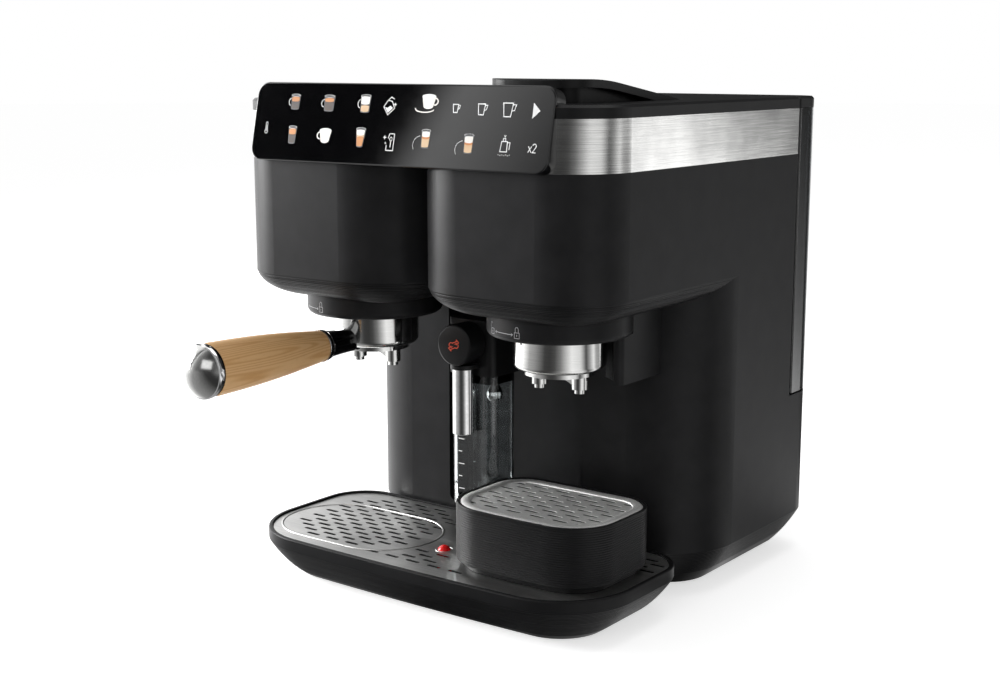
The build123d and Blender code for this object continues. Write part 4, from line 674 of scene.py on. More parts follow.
# ---- flat drawings: printed marks
class Drawing:
    """Flat shapes in millimetres on a surface, each with a small thickness."""

    def __init__(self, lift, thickness):
        self.vertices = []
        self.faces = []
        self.lift = lift
        self.thickness = thickness

    def strip(self, pairs, closed):
        """A band through (left, right) pairs of points."""
        first = len(self.vertices)
        for left, right in pairs:
            for u, v in (left, right):
                self.vertices += [(u, v, self.lift), (u, v, self.lift + self.thickness)]
        count = len(pairs)
        for i in range(count if closed else count - 1):
            a = first + 4 * i
            b = first + 4 * ((i + 1) % count)
            self.faces += [(a + 1, a + 3, b + 3, b + 1), (a, b, b + 2, a + 2),
                           (a, a + 1, b + 1, b), (a + 2, b + 2, b + 3, a + 3)]
        if not closed:
            end = first + 4 * (count - 1)
            self.faces += [(first, first + 2, first + 3, first + 1), (end, end + 1, end + 3, end + 2)]

    def stroke(self, points, width, closed=False):
        """A line of even width through points, with mitred corners."""
        count = len(points)
        pairs = []
        for i, point in enumerate(points):
            before = points[(i - 1) % count] if closed or i > 0 else None
            after = points[(i + 1) % count] if closed or i < count - 1 else None
            normals = []
            for start, end in ((before, point), (point, after)):
                if start is not None and end is not None:
                    dx, dy = end[0] - start[0], end[1] - start[1]
                    size = hypot(dx, dy) or 1.0
                    normals.append((-dy / size, dx / size))
            nx = sum(n[0] for n in normals) / len(normals)
            ny = sum(n[1] for n in normals) / len(normals)
            size = max(hypot(nx, ny), 0.4) ** 2
            nx, ny = nx / size * width / 2, ny / size * width / 2
            pairs.append(((point[0] + nx, point[1] + ny), (point[0] - nx, point[1] - ny)))
        self.strip(pairs, closed)

    def shape(self, points):
        """A filled outline."""
        first = len(self.vertices)
        count = len(points)
        for height in (self.lift, self.lift + self.thickness):
            self.vertices += [(u, v, height) for u, v in points]
        self.faces.append(tuple(first + count + i for i in range(count)))
        self.faces.append(tuple(first + count - 1 - i for i in range(count)))
        for i in range(count):
            j = (i + 1) % count
            self.faces.append((first + i, first + j, first + count + j, first + count + i))

    def build(self, name, place):
        """The drawing as an object, each point put where place(u, v, lift) says."""
        return solid(name, [place(*vertex) for vertex in self.vertices], self.faces, angle=30)


def oval(x, y, rx, ry, start=0, end=360, steps=20):
    """Points round an oval; a full turn leaves out its repeated end."""
    count = steps if end - start >= 360 else steps + 1
    turns = [radians(start + (end - start) * i / steps) for i in range(count)]
    return [(x + rx * cos(a), y + ry * sin(a)) for a in turns]


def lower_half(x, y, rx, ry):
    """The lower half of an oval."""
    return oval(x, y, rx, ry, 180, 360, 10)


def upper_half(x, y, rx, ry):
    """The upper half of an oval."""
    return oval(x, y, rx, ry, 0, 180, 10)


# ---- what a user may change
def length(label, what, size):
    """A length that a user may change, from its default in millimetres."""
    return bpy.props.FloatProperty(name=label, description=what, default=size * MM, unit="LENGTH")


class MachineSizes(bpy.types.PropertyGroup):
    """Sizes of the fine detail."""
    rib_pitch: length("Rib pitch", "From one fine rib to the next", 1.55)
    rib_depth: length("Rib depth", "Depth of the grooves between ribs", 0.32)
    slot_length: length("Slot length", "Length of a drain slot", 11.6)
    slot_width: length("Slot width", "Width of a drain slot", 3.0)
    hole_radius: length("Hole radius", "Radius of the stand's round drain holes", 2.2)
    slot_pitch: length("Slot pitch", "From one slot to the next in a row", 18.3)
    row_pitch: length("Row pitch", "From one row of slots to the next", 7.05)
    bead_height: length("Bead height", "Height of the rolled border of the stand's plate", 1.5)
    icon_line: length("Icon line", "Line width of the printed icons", 0.55)


class MachineStage(bpy.types.PropertyGroup):
    """The stage's light and colour."""
    floor_colour: bpy.props.FloatVectorProperty(
        name="Floor", description="Colour of the floor", default=linear("f2f2f2")[:3], subtype="COLOR")
    key_power: bpy.props.FloatProperty(
        name="Key light", description="Power of the large lamp on the left", default=60.0, unit="POWER")
    fill_power: bpy.props.FloatProperty(
        name="Fill lights", description="Power of the lamps in front and above", default=5.0, unit="POWER")


# ---- operators
NODE_FINISHES = {
    "eroded_abs": ("head_shell", "column_shell", "collar_left", "collar_right", "guide_fin"),
    "satin_abs": ("top_cover", "lid", "recess_liner", "milk_head", "tank_lid", "base_plate", "steam_socket",
                  "valve_seat", "pump_cradle"),
    "gloss_abs": ("panel_housing",),
    "brushed_steel": ("steel_band",),
    "turned_steel": ("twin_spout_left", "twin_spout_right", "filter_basket_left", "filter_basket_right",
                     "shower_screen_left", "shower_screen_right", "lid_pin", "base_screws", "steam_tip"),
    "cast_aluminium": ("brew_group_left", "brew_group_right", "water_pump"),
    "clear_plastic": ("milk_jar", "feed_hose"),
    "smoked_plastic": ("water_tank",),
    "nitrile": ("rubber_feet", "group_gasket_left", "group_gasket_right", "milk_seal", "cord_gland",
                "tank_valve"),
    "circuit_board": ("control_board", "power_board"),
}


class FinishNodes(bpy.types.Operator):
    """Gives every kept node its finish"""
    bl_idname = "machine.finish_nodes"
    bl_label = "Finish the kept parts"

    def execute(self, context):
        for material, names in NODE_FINISHES.items():
            for name in names:
                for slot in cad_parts[name].material_slots:
                    slot.material = finish(material)
        return {"FINISHED"}


class RibbedChins(bpy.types.Operator):
    """Makes the ribbed undersides of both barrels"""
    bl_idname = "machine.ribbed_chins"
    bl_label = "Ribbed chins"

    def execute(self, context):
        z_bottom, z_top = CHIN[4], CHIN[5]
        curve = mould_curve(z_top, z_bottom, CHIN_INSET, CHIN_RINGS, CHIN_ARC)
        for name, side in SIDES.items():
            def outline(inset, side=side):
                return chin_outline(side, inset)

            centre_x = side * GROUP_X
            hole = []
            for x, y in outline(CHIN_INSET):
                a = atan2(y - GROUP_Y, x - centre_x)
                hole.append((centre_x + CHIN_BORE * cos(a), GROUP_Y + CHIN_BORE * sin(a)))
            rings = down_curve(outline, curve, CHIN_RIBBED)
            rings += [(level(hole, z), PLAIN) for z in (z_bottom, z_bottom + SHELL_WALL)]
            rings += plain(outline, (CHIN_ROOM_INSET, z_bottom + SHELL_WALL), (CHIN_ROOM_INSET, z_top))
            skin = ribbed("chin_ribs_" + name, rings)
            profile = [(0.0, CHIN_BORE), (0.0, COLLAR_RADIUS), (SHELL_WALL, COLLAR_RADIUS),
                       (SHELL_WALL, CHIN_BORE)]
            seat = turned("collar_seat", profile, (centre_x, GROUP_Y, z_bottom), steps=128)
            piece = joined("chin_skin_" + name, [skin, seat])
            dress(piece, "machine", "ribbed_abs", "matte_body", "chin_" + name)
        return {"FINISHED"}


class RibbedSkirt(bpy.types.Operator):
    """Makes the ribbed foot of the column"""
    bl_idname = "machine.ribbed_skirt"
    bl_label = "Ribbed skirt"

    def execute(self, context):
        curve = mould_curve(SKIRT[5], SKIRT[4], SKIRT_INSET, SKIRT_RINGS, SKIRT_ARC)
        rings = down_curve(column_outline, curve, SKIRT_RIBBED)
        rings += plain(column_outline, (SKIRT_INSET + SHELL_WALL, SKIRT[4]), (SHELL_WALL, SKIRT[5]))
        dress(ribbed("skirt_skin", rings), "machine", "ribbed_abs", "matte_body", "base_skirt")
        return {"FINISHED"}


def spot(point, scale=MM):
    """A point rounded in metres, to find it again by its place."""
    return tuple(round(value * scale, 6) for value in point)


class DripTray(bpy.types.Operator):
    """Makes the ribbed body of the drip tray"""
    bl_idname = "machine.drip_tray"
    bl_label = "Drip tray"

    def execute(self, context):
        top, bottom = TRAY[5], TRAY[4]
        seat_z = TRAY_SHEET[5] - SHEET
        lip = top - TRAY_LIP
        foot_inset = TRAY_INSET + TRAY_WALL
        ledge_inset = TRAY_WALL + TRAY_LEDGE
        rings = plain(tray_outline, (TRAY_WALL, seat_z), (TRAY_WALL, top - 0.5), (TRAY_WALL - 0.5, top))
        rings += round_rim(tray_outline, top, TRAY_RIM, 6)
        # A fine step parts the smooth lip from the ribs.
        rings += plain(tray_outline, (0.0, lip + 0.4), (0.35, lip + 0.2), (0.35, lip))
        curve = mould_curve(lip, bottom, TRAY_INSET, TRAY_RINGS, TRAY_ARC)
        rings += down_curve(tray_outline, curve, TRAY_RIBBED)[1:]
        rings += plain(tray_outline, (foot_inset, bottom), (foot_inset, TRAY_UNDER_Z))
        body = ribbed("tray_skin", rings)
        low_inset = min(curve, key=lambda point: abs(point[1] - TRAY_FLOOR_Z))[0] + TRAY_WALL
        inner = [level(tray_outline(inset), z) for inset, z in (
            (low_inset, TRAY_FLOOR_Z), (ledge_inset, lip), (ledge_inset, seat_z), (TRAY_WALL, seat_z))]
        self.close_tray(body.data, inner, level(tray_outline(foot_inset), TRAY_UNDER_Z))
        dress(body, "drip_tray", "ribbed_abs", "matte_body", "tray_body")
        return {"FINISHED"}

    def close_tray(self, mesh, inner, under):
        """Joins the tray's skin with its inner walls and floor, as one closed moulding."""
        shape = bmesh.new()
        shape.from_mesh(mesh)
        loops = []
        for ring in inner:
            loops.append([shape.verts.new([value * MM for value in point]) for point in ring])
        for low, high in zip(loops, loops[1:]):
            for i in range(len(low)):
                j = (i + 1) % len(low)
                shape.faces.new((low[i], low[j], high[j], high[i]))
        shape.faces.new(loops[0])
        # The loft closed itself from its last ring to its first, through the tray's room.
        order = {spot(point): i for i, point in enumerate(under)}
        seat = {spot(point) for point in inner[-1]}
        gone = []
        for face in shape.faces:
            corners = {spot(vertex.co, 1.0) for vertex in face.verts}
            if corners & order.keys() and corners & seat:
                gone.append(face)
        bmesh.ops.delete(shape, geom=gone, context="FACES_ONLY")
        under_loop = [vertex for vertex in shape.verts if spot(vertex.co, 1.0) in order]
        under_loop.sort(key=lambda vertex: order[spot(vertex.co, 1.0)])
        shape.faces.new(under_loop)
        bmesh.ops.remove_doubles(shape, verts=shape.verts, dist=1e-6)
        bmesh.ops.recalc_face_normals(shape, faces=shape.faces)
        shape.to_mesh(mesh)
        shape.free()
        smooth(mesh)


def grid(centre, rows, columns, inside, shifted_rows=1):
    """Centres of staggered slots round a centre, where inside(x, y) allows one."""
    sizes = bpy.context.scene.machine_sizes
    across, along = sizes.slot_pitch / MM, sizes.row_pitch / MM
    places = []
    for row in range(-rows, rows + 1):
        shift = across / 2 if row % 2 != shifted_rows else 0.0
        for column in range(-columns, columns + 1):
            x = centre[0] + column * across + shift
            y = centre[1] + row * along
            if inside(x, y):
                places.append((x, y))
    return places


def bead(name, outline, width, height, z, steps=8):
    """A raised half-round bead that follows outline(inset), its crown at that height."""
    rings = []
    for i in range(steps + 1):
        a = pi * i / steps
        rings.append(level(outline(width / 2 - width / 2 * cos(a)), z + height * sin(a)))
    return lofted(name, rings)


class DripPlates(bpy.types.Operator):
    """Makes the slotted steel plates of the tray and the cup stand, and the float"""
    bl_idname = "machine.drip_plates"
    bl_label = "Steel plates and float"

    # The middles of the three fields of slots in the tray's plate and of the one in the stand's.
    CUP_FIELD = (-78.2, -82.4)
    FRONT_FIELD = (-0.5, -122.2)
    REAR_FIELD = (127.9, -38.3)
    STAND_FIELD = (GROUP_X, -104.3)
    CUP_FIELD_RADIUS = 53.8
    CUP_LOOP = (-144.5, -15.5, -140.0, -56.0)
    CUP_LOOP_RADIUS = 41.0
    ROUND_HOLES_Y = -128.0
    ROUND_HOLES_APART = 16
    HOLE_CLEARANCE = 9

    def execute(self, context):
        x, y = (FLOAT[0] + FLOAT[1]) / 2, (FLOAT[2] + FLOAT[3]) / 2
        self.tray_plate(x, y)
        self.stand_plate(context.scene.machine_sizes.bead_height / MM)
        self.float(x, y)
        return {"FINISHED"}

    def tray_plate(self, float_x, float_y):
        """The tray's plate: a round field of slots under the left cup and two small ones."""
        def near_cup(x, y):
            return hypot(x - self.CUP_FIELD[0], y - self.CUP_FIELD[1]) < self.CUP_FIELD_RADIUS

        def near_front(x, y):
            # Wide in its front row, one or two slots wide behind it.
            return abs(x) < (42 if y < -132 else 12) and -140 < y < -111

        def near_rear(x, y):
            return 120 < x < 138 and -61 < y < -36

        top = TRAY_SHEET[5]
        slots = grid(self.CUP_FIELD, 8, 4, near_cup)
        slots += grid(self.FRONT_FIELD, 3, 3, near_front, shifted_rows=0)
        slots += grid(self.REAR_FIELD, 3, 1, near_rear, shifted_rows=0)
        plate = slotted("tray_sheet", tray_outline(TRAY_WALL + SEAT_GAP), slots, [], top - PRESSED)
        pieces = [plate, self.float_collar(float_x, float_y, top), self.loop_bead(top)]
        dress(joined("drip_plate_sheet", pieces), "drip_plate", "satin_steel", "pressed_steel", "tray_plate")

    def stand_plate(self, height):
        """The cup stand's plate, with a rolled border and three round holes in front."""
        def on_stand(x, y):
            return -126 < y < -58 and abs(x - GROUP_X) < 47

        def border(inset):
            return stand_outline(STAND_WALL + SEAT_GAP + 0.2 + inset)

        top = STAND_SHEET[5]
        holes = [(GROUP_X + self.ROUND_HOLES_APART * i, self.ROUND_HOLES_Y) for i in (-1, 0, 1)]
        slots = [place for place in grid(self.STAND_FIELD, 9, 4, on_stand)
                 if min(hypot(place[0] - x, place[1] - y) for x, y in holes) > self.HOLE_CLEARANCE]
        sheet = slotted("stand_sheet", stand_outline(STAND_WALL + SEAT_GAP), slots, holes, top - PRESSED)
        rolled = bead("stand_border", border, width=7.0, height=height, z=top - 0.05)
        plate = joined("stand_plate_sheet", [sheet, rolled])
        dress(plate, "cup_stand_plate", "blasted_steel", "pressed_steel", "stand_plate")

    def float_collar(self, x, y, top):
        """A small rolled ring round the float's hole."""
        turns = [radians(180 * i / 6) for i in range(7)]
        profile = [(0.25 * sin(a), 6.0 + 0.4 * cos(a)) for a in turns]
        return turned("float_rim", profile, (x, y, top - 0.02), steps=40)

    def loop_bead(self, top):
        """The fine raised loop round the place for the large cup."""
        outline = outline_of(self.CUP_LOOP, self.CUP_LOOP_RADIUS, self.CUP_LOOP_RADIUS, 1.5, 62.0)
        return bead("cup_loop", outline, width=1.8, height=0.45, z=top - 0.02, steps=6)

    def float(self, x, y):
        """The red float: a domed stem on its disc."""
        radius = 5.0
        z0, z1 = FLOAT[4], FLOAT[5]
        disc = (FLOAT[1] - FLOAT[0]) / 2
        profile = [(z0, 0.0), (z0, disc - 0.6), (z0 + 0.6, disc), (z0 + 4.4, disc), (z0 + 5.0, disc - 0.6),
                   (z0 + 5.0, radius)]
        profile += arc(z1 - radius, 0.0, radius, 90, 0, 10)
        piece = turned("float_bead", profile, (x, y, 0.0), steps=48)
        dress(piece, "level_float", "red_pp", "float_red", "tray_float")


class CupStand(bpy.types.Operator):
    """Makes the finely ribbed wall of the cup stand on its set-back foot"""
    bl_idname = "machine.cup_stand"
    bl_label = "Cup stand"

    def execute(self, context):
        foot_z, top = STAND[4], STAND[5]
        wall_z = foot_z + STAND_FOOT_HEIGHT
        roof_z = wall_z + STAND_WALL
        seat_z = STAND_SHEET[5] - SHEET
        ledge_inset = STAND_WALL + STAND_LEDGE
        rings = plain(stand_outline, (STAND_WALL, seat_z), (STAND_WALL, top - 0.4))
        rings += round_rim(stand_outline, top, STAND_RIM, 5)
        first = top - STAND_RIM - 0.6
        for i in range(STAND_RINGS + 1):
            z = first + (wall_z + 0.8 - first) * i / STAND_RINGS
            rings.append((level(stand_outline(0.0), z), first - z))
        rings += plain(stand_outline, (0.8, wall_z), (STAND_FOOT_INSET, wall_z), (STAND_FOOT_INSET, foot_z),
                       (STAND_FOOT_INSET + STAND_WALL, foot_z), (STAND_FOOT_INSET + STAND_WALL, roof_z),
                       (ledge_inset, roof_z), (ledge_inset, seat_z))
        dress(ribbed("stand_skin", rings), "cup_stand", "ribbed_abs", "matte_body", "stand_body")
        return {"FINISHED"}


class Handle(bpy.types.Operator):
    """Makes the portafilter's neck, oak grip, ring and cap"""
    bl_idname = "machine.handle"
    bl_label = "Handle"

    def part(self, name, profile, material, slot, *replaced, steps=72):
        """One turned part of the handle."""
        piece = turned(name, profile, (-GROUP_X, GROUP_Y, HANDLE_Z), axis="-Y", steps=steps)
        dress(piece, "portafilter_left", material, slot, *replaced)

    def execute(self, context):
        neck_end, grip_end, ring_end, cap_end = [
            GROUP_Y - y for y in (GRIP[3], GRIP[2], RING[2], CAP[2])]
        self.neck(neck_end)

        grip = [(neck_end, 0.0), (neck_end, NECK_END_RADIUS - 0.5), (neck_end + 0.4, NECK_END_RADIUS)]
        for i in range(1, 24):
            t = i / 24
            radius = NECK_END_RADIUS + (GRIP_RADIUS - NECK_END_RADIUS) * t + GRIP_SWELL * sin(pi * t)
            grip.append((neck_end + (grip_end - neck_end) * t, radius))
        grip += [(grip_end - 0.5, GRIP_RADIUS), (grip_end, GRIP_RADIUS - 0.4), (grip_end, 0.0)]
        self.part("oak_grip", grip, "oiled_oak", "oak", "grip", steps=96)

        ring_radius = GRIP_RADIUS - 0.6
        ring = [(grip_end, 0.0), (grip_end, ring_radius), (ring_end, ring_radius), (ring_end, 0.0)]
        self.part("dark_ring", ring, "gloss_abs", "black_body", "grip_ring")

        rim_radius = GRIP_RADIUS + 0.6
        rim_end = ring_end + 4.0
        rim = [(ring_end, 0.0), (ring_end, rim_radius - 0.4), (ring_end + 0.4, rim_radius),
               (rim_end - 0.8, rim_radius), (rim_end - 0.2, rim_radius - 0.3), (rim_end, rim_radius - 0.9),
               (rim_end, 0.0)]
        self.part("cap_rim", rim, "chrome", "polished_steel", steps=96)

        dome_radius = rim_radius - 1.0
        rise = cap_end - rim_end
        ball = (dome_radius ** 2 + rise ** 2) / (2 * rise)
        dome = [(rim_end, 0.0)]
        for i in range(15):
            radius = dome_radius * (1 - i / 14)
            dome.append((cap_end - ball + sqrt(ball ** 2 - radius ** 2), radius))
        self.part("cap_dome", dome, "spun_steel", "polished_steel", "grip_cap", steps=96)
        return {"FINISHED"}

    def neck(self, end):
        """The black neck with its flange, and the chrome ring that ends it."""
        flange = NECK_END_RADIUS + 0.5
        waist = NECK_ROOT_RADIUS + 1.2
        root = sqrt(CUP_RADIUS ** 2 - NECK_ROOT_RADIUS ** 2) - 1.2
        neck = [(root, 0.0), (root, NECK_ROOT_RADIUS), (root + 3.0, NECK_ROOT_RADIUS)]
        neck += [(root + 3.0 + (end - 6.0 - root - 3.0) * t,
                  NECK_ROOT_RADIUS + (waist - NECK_ROOT_RADIUS) * t ** 1.4) for t in (0.25, 0.5, 0.75, 1.0)]
        neck += [(end - 5.2, waist + 0.9), (end - 4.4, flange - 0.9), (end - 3.6, flange - 0.25),
                 (end - 2.8, flange), (end - 1.3, flange), (end - 1.0, flange - 0.3), (end - 1.0, 0.0)]
        self.part("neck_barrel", neck, "gloss_abs", "black_body", "neck")
        ferrule = [(end - 1.0, 0.0), (end - 1.0, flange - 0.1), (end - 0.8, flange + 0.05),
                   (end - 0.2, flange + 0.05), (end, flange - 0.1), (end, 0.0)]
        self.part("neck_ferrule", ferrule, "chrome", "polished_steel")


class Cups(bpy.types.Operator):
    """Makes both polished portafilter cups with their bayonet lugs"""
    bl_idname = "machine.cups"
    bl_label = "Portafilter cups"

    def execute(self, context):
        bottom, top = CUP[4], CUP[5]
        inner = CUP_RADIUS - CUP_WALL
        foot = CUP_RADIUS - CUP_EDGE
        profile = [(bottom, 0.0), (bottom, foot - 3.2), (bottom + 0.2, foot - 2.9)]
        profile += [(bottom + CUP_EDGE * (1 - cos(radians(t))), foot + CUP_EDGE * sin(radians(t)))
                    for t in range(0, 91, 9)]
        profile += [(top - 0.3, CUP_RADIUS), (top, CUP_RADIUS - 0.3), (top, inner),
                    (bottom + CUP_WALL, inner), (bottom + CUP_WALL, 0.0)]
        for name, side in SIDES.items():
            pieces = [turned("cup_wall", profile, (side * GROUP_X, GROUP_Y, 0.0), steps=128)]
            pieces += [self.lug(side, turn) for turn in (0, 180)]
            piece = joined("steel_cup_" + name, pieces)
            dress(piece, "portafilter_" + name, "turned_steel", "polished_steel", "cup_" + name)
        return {"FINISHED"}

    def lug(self, side, turn):
        """A bayonet lug, a sector outside the cup's wall."""
        reach, half = (CUP[1] - CUP[0]) / 2, 13
        near, low = CUP_RADIUS - 0.8, COLLAR[4] + 6.0
        vertices = []
        for radius, z in ((near, low), (reach, low), (reach, low + 4.6), (near, low + 4.6)):
            vertices += [(side * GROUP_X + radius * cos(radians(a + turn)),
                          GROUP_Y + radius * sin(radians(a + turn)), z) for a in range(-half, half + 1, 2)]
        count = len(vertices) // 4
        faces = []
        for first, second in ((0, 1), (1, 2), (2, 3), (3, 0)):
            for i in range(count - 1):
                faces.append((first * count + i, first * count + i + 1,
                              second * count + i + 1, second * count + i))
        faces += [tuple(k * count for k in range(4)), tuple(k * count + count - 1 for k in (3, 2, 1, 0))]
        return solid("lug", vertices, faces)


class MilkUnit(bpy.types.Operator):
    """Makes the froth knob with its mark, the chrome milk tube and the container's scale"""
    bl_idname = "machine.milk_unit"
    bl_label = "Milk unit"

    def execute(self, context):
        centre_z = (KNOB[4] + KNOB[5]) / 2
        radius = (KNOB[1] - KNOB[0]) / 2
        front, back = -KNOB[2], -KNOB[3]
        disc_back = front - 17.0
        profile = [(front, 0.0), (front, radius - 1.6), (front - 0.15, radius - 0.9),
                   (front - 0.7, radius - 0.2), (front - 1.5, radius), (disc_back + 0.6, radius),
                   (disc_back, radius - 0.6), (disc_back, 4.0), (back, 4.0), (back, 0.0)]
        piece = turned("froth_knob", profile, (0.0, 0.0, centre_z), axis="-Y", steps=96)
        dress(piece, "froth_knob", "satin_abs", "black_body", "milk_knob")

        mark = Drawing(lift=0.02, thickness=0.08)
        arrow = [(-3.9, -0.9), (-3.9, 0.6), (-2.7, 1.8), (-1.0, 1.5), (0.8, 2.3), (2.4, 2.9), (2.4, 3.9),
                 (4.4, 2.3), (2.5, 0.8), (2.4, 1.6), (0.9, 0.9)]
        for flip in (1, -1):
            mark.stroke([(flip * u, flip * v) for u, v in arrow], 0.5)
        piece = mark.build("swirl_mark", lambda u, v, lift: (u, -front - lift, centre_z + v))
        dress(piece, "froth_knob", "ink_orange", "black_body")

        x, y = (SPOUT_TUBE[0] + SPOUT_TUBE[1]) / 2, (SPOUT_TUBE[2] + SPOUT_TUBE[3]) / 2
        outer = (SPOUT_TUBE[1] - SPOUT_TUBE[0]) / 2
        inner = outer - 0.8
        z0, z1 = SPOUT_TUBE[4], SPOUT_TUBE[5]
        profile = [(z0 + 0.3, inner), (z0, inner + 0.25), (z0, outer - 0.25), (z0 + 0.3, outer),
                   (z1, outer), (z1, inner)]
        piece = turned("milk_tube", profile, (x, y, 0.0), steps=64)
        dress(piece, "milk_unit", "chrome", "polished_steel", "milk_spout")

        scale = Drawing(lift=0.02, thickness=0.06)
        for i in range(9):
            z = JAR[4] + 12 + i * 9
            scale.stroke([(0.0, z), (5.0 if i % 2 == 0 else 3.0, z)], 0.6)
        piece = scale.build("jar_scale", lambda u, v, lift: (JAR[0] + 8.0 + u, JAR[2] - lift, v))
        dress(piece, "milk_unit", "ink_white", "clear_wall")
        return {"FINISHED"}


def on_panel(u, v, lift):
    """A point on the touch glass: u across, v up from its lower front edge, lift out of it."""
    tilt = radians(PANEL_TILT)
    up = Vector((0.0, sin(tilt), cos(tilt)))
    out = Vector((0.0, -cos(tilt), sin(tilt)))
    return tuple(Vector((0.0, GLASS[2], GLASS[4])) + Vector((u, 0.0, 0.0)) + up * v + out * lift)


class TouchPanel(bpy.types.Operator):
    """Makes the touch glass with its polished edge"""
    bl_idname = "machine.touch_panel"
    bl_label = "Touch glass"

    def execute(self, context):
        half = GLASS[1]
        edge = 0.7

        def ring(inset, lift):
            radius = PANEL_RADIUS - inset
            outline = rounded_plan(-half + inset, half - inset, inset, PANEL_HEIGHT - inset,
                                   radius, radius, 0.0, half)
            return [on_panel(u, v, lift) for u, v in outline]

        rings = [ring(0.25, -GLASS_THICKNESS), ring(0.0, -GLASS_THICKNESS + 0.25), ring(0.0, -edge)]
        for i in range(1, 7):
            a = radians(90 * i / 6)
            rings.append(ring(edge * (1 - cos(a)), -edge * (1 - sin(a))))
        # A narrow flat border keeps the bevel's shading off the front.
        rings.append(ring(edge + 0.3, 0.0))
        piece = lofted("glass_front", rings, closed=False)
        dress(piece, "machine", "black_glass", "touch_glass", "panel_glass")
        return {"FINISHED"}


class PanelIcons(bpy.types.Operator):
    """Prints the icons on the touch glass"""
    bl_idname = "machine.panel_icons"
    bl_label = "Panel icons"

    def execute(self, context):
        line = context.scene.machine_sizes.icon_line / MM
        inks = {name: Drawing(lift=0.02 + 0.05 * i, thickness=0.04) for i, name in enumerate(
            ("ink_dark", "ink_coffee", "ink_latte", "ink_crema", "ink_milk", "ink_white"))}
        white = inks["ink_white"]
        self.drinks(inks)
        self.settings(white, line)
        self.sizes(white, line)
        for name, drawing in inks.items():
            piece = drawing.build("panel_" + name[4:], on_panel)
            dress(piece, "machine", name, "touch_glass")
        return {"FINISHED"}

    def glass(self, inks, x, y, width, height, layers, handle=False, taper=0.85):
        """A drinking glass centred at x, y: layers are (ink, top as a share of the height) from below."""
        def half(share):
            return width / 2 * (taper + (1 - taper) * share)

        low = y - height / 2
        inner = 0.86
        inks["ink_dark"].shape(lower_half(x, low, half(0), height * 0.07) +
                               upper_half(x, low + height, half(1), height * 0.09))
        start = 0.06
        for ink, share in layers:
            inks[ink].shape(lower_half(x, low + height * start, half(start) * inner, height * 0.07) +
                            upper_half(x, low + height * share, half(share) * inner, height * 0.07))
            start = share
        shine = oval(x, low + height, half(1) * 0.96, height * 0.085)
        inks["ink_white"].stroke(shine, 0.16, closed=True)
        if handle:
            ear = oval(x - half(0.5), y, width * 0.24, height * 0.26, 90, 270, 8)
            inks["ink_white"].stroke(ear, 0.4)

    def mug(self, inks, x, y, width, height, fill, handle):
        """A white cup with a drink in it."""
        low, high = y - height / 2, y + height / 2 * 0.75
        body = lower_half(x, low + height * 0.2, width * 0.36, height * 0.2)
        body += oval(x, high, width / 2, height * 0.02, 0, 1, 2)
        body += [(x - width / 2, high)]
        inks["ink_milk"].shape(body)
        inks["ink_white"].shape(oval(x, high, width / 2, height * 0.17))
        inks[fill].shape(oval(x, high, width * 0.43, height * 0.12))
        first = -100 if handle > 0 else 80
        ear = oval(x + width / 2 * 0.9 * handle, y + 0.2, width * 0.22, height * 0.24, first, first + 200, 8)
        inks["ink_milk"].stroke(ear, 0.9)

    def drinks(self, inks):
        """The small pictures of drinks, in two rows."""
        coffee, crema, latte, milk = "ink_coffee", "ink_crema", "ink_latte", "ink_milk"
        self.glass(inks, -86.4, 39.4, 8.2, 9.0, [(coffee, 0.6), (crema, 0.82)], handle=True)
        self.glass(inks, -56.0, 39.0, 9.4, 9.4, [(coffee, 0.66), (crema, 0.8)], handle=True)
        self.glass(inks, -24.6, 39.2, 8.8, 10.2, [(latte, 0.34), (coffee, 0.52), (milk, 0.9)], handle=True)
        self.glass(inks, -85.8, 17.4, 7.4, 10.4, [(coffee, 0.6), (crema, 0.84)], taper=0.8)
        self.mug(inks, -56.0, 17.6, 10.4, 9.4, milk, -1)
        self.glass(inks, -25.4, 17.4, 8.4, 11.0, [(crema, 0.5), (latte, 0.7), (milk, 0.9)], taper=0.62)
        self.mug(inks, 27.6, 41.4, 11.0, 9.0, crema, 1)
        inks["ink_milk"].stroke(oval(25.0, 37.0, 7.6, 2.2, 170, 350, 14), 0.7)
        self.glass(inks, 28.6, 18.2, 7.4, 10.4, [(latte, 0.55), (crema, 0.68), (milk, 0.88)])
        inks["ink_white"].stroke(oval(24.6, 14.6, 5.6, 5.4, 95, 215, 12), 0.3)
        self.glass(inks, 62.6, 16.2, 7.6, 10.6, [(latte, 0.5), (crema, 0.62), (milk, 0.88)])
        inks["ink_white"].stroke(oval(58.6, 12.6, 5.8, 5.4, 95, 215, 12), 0.3)

    def settings(self, white, line):
        """Thermometer, milk pitcher, cleaning, play, steam jug and x2."""
        thermometer = oval(-110.1, 24.7, 0.75, 0.75, 0, 180, 8)
        thermometer += [(-110.85, 20.2)] + oval(-110.1, 19.2, 1.3, 1.3, 135, 405, 14) + [(-109.35, 20.2)]
        white.stroke(thermometer, line * 0.7, closed=True)
        white.stroke([(-110.1, 19.2), (-110.1, 23.4)], line * 0.6)

        pitcher = [(-5.6, 41.8), (-8.6, 37.6), (-4.6, 32.6), (0.4, 36.8), (-2.0, 41.2)]
        white.stroke(pitcher, line, closed=True)
        white.shape([(-7.4, 37.4), (-4.7, 33.8), (-1.0, 37.0), (-3.2, 38.4), (-5.2, 37.0)])
        white.stroke([(-5.6, 41.8), (-3.0, 43.8), (-0.4, 42.6)], line)
        white.stroke([(-0.4, 39.2), (1.8, 39.2)], line)
        white.stroke([(0.7, 40.3), (0.7, 38.1)], line)

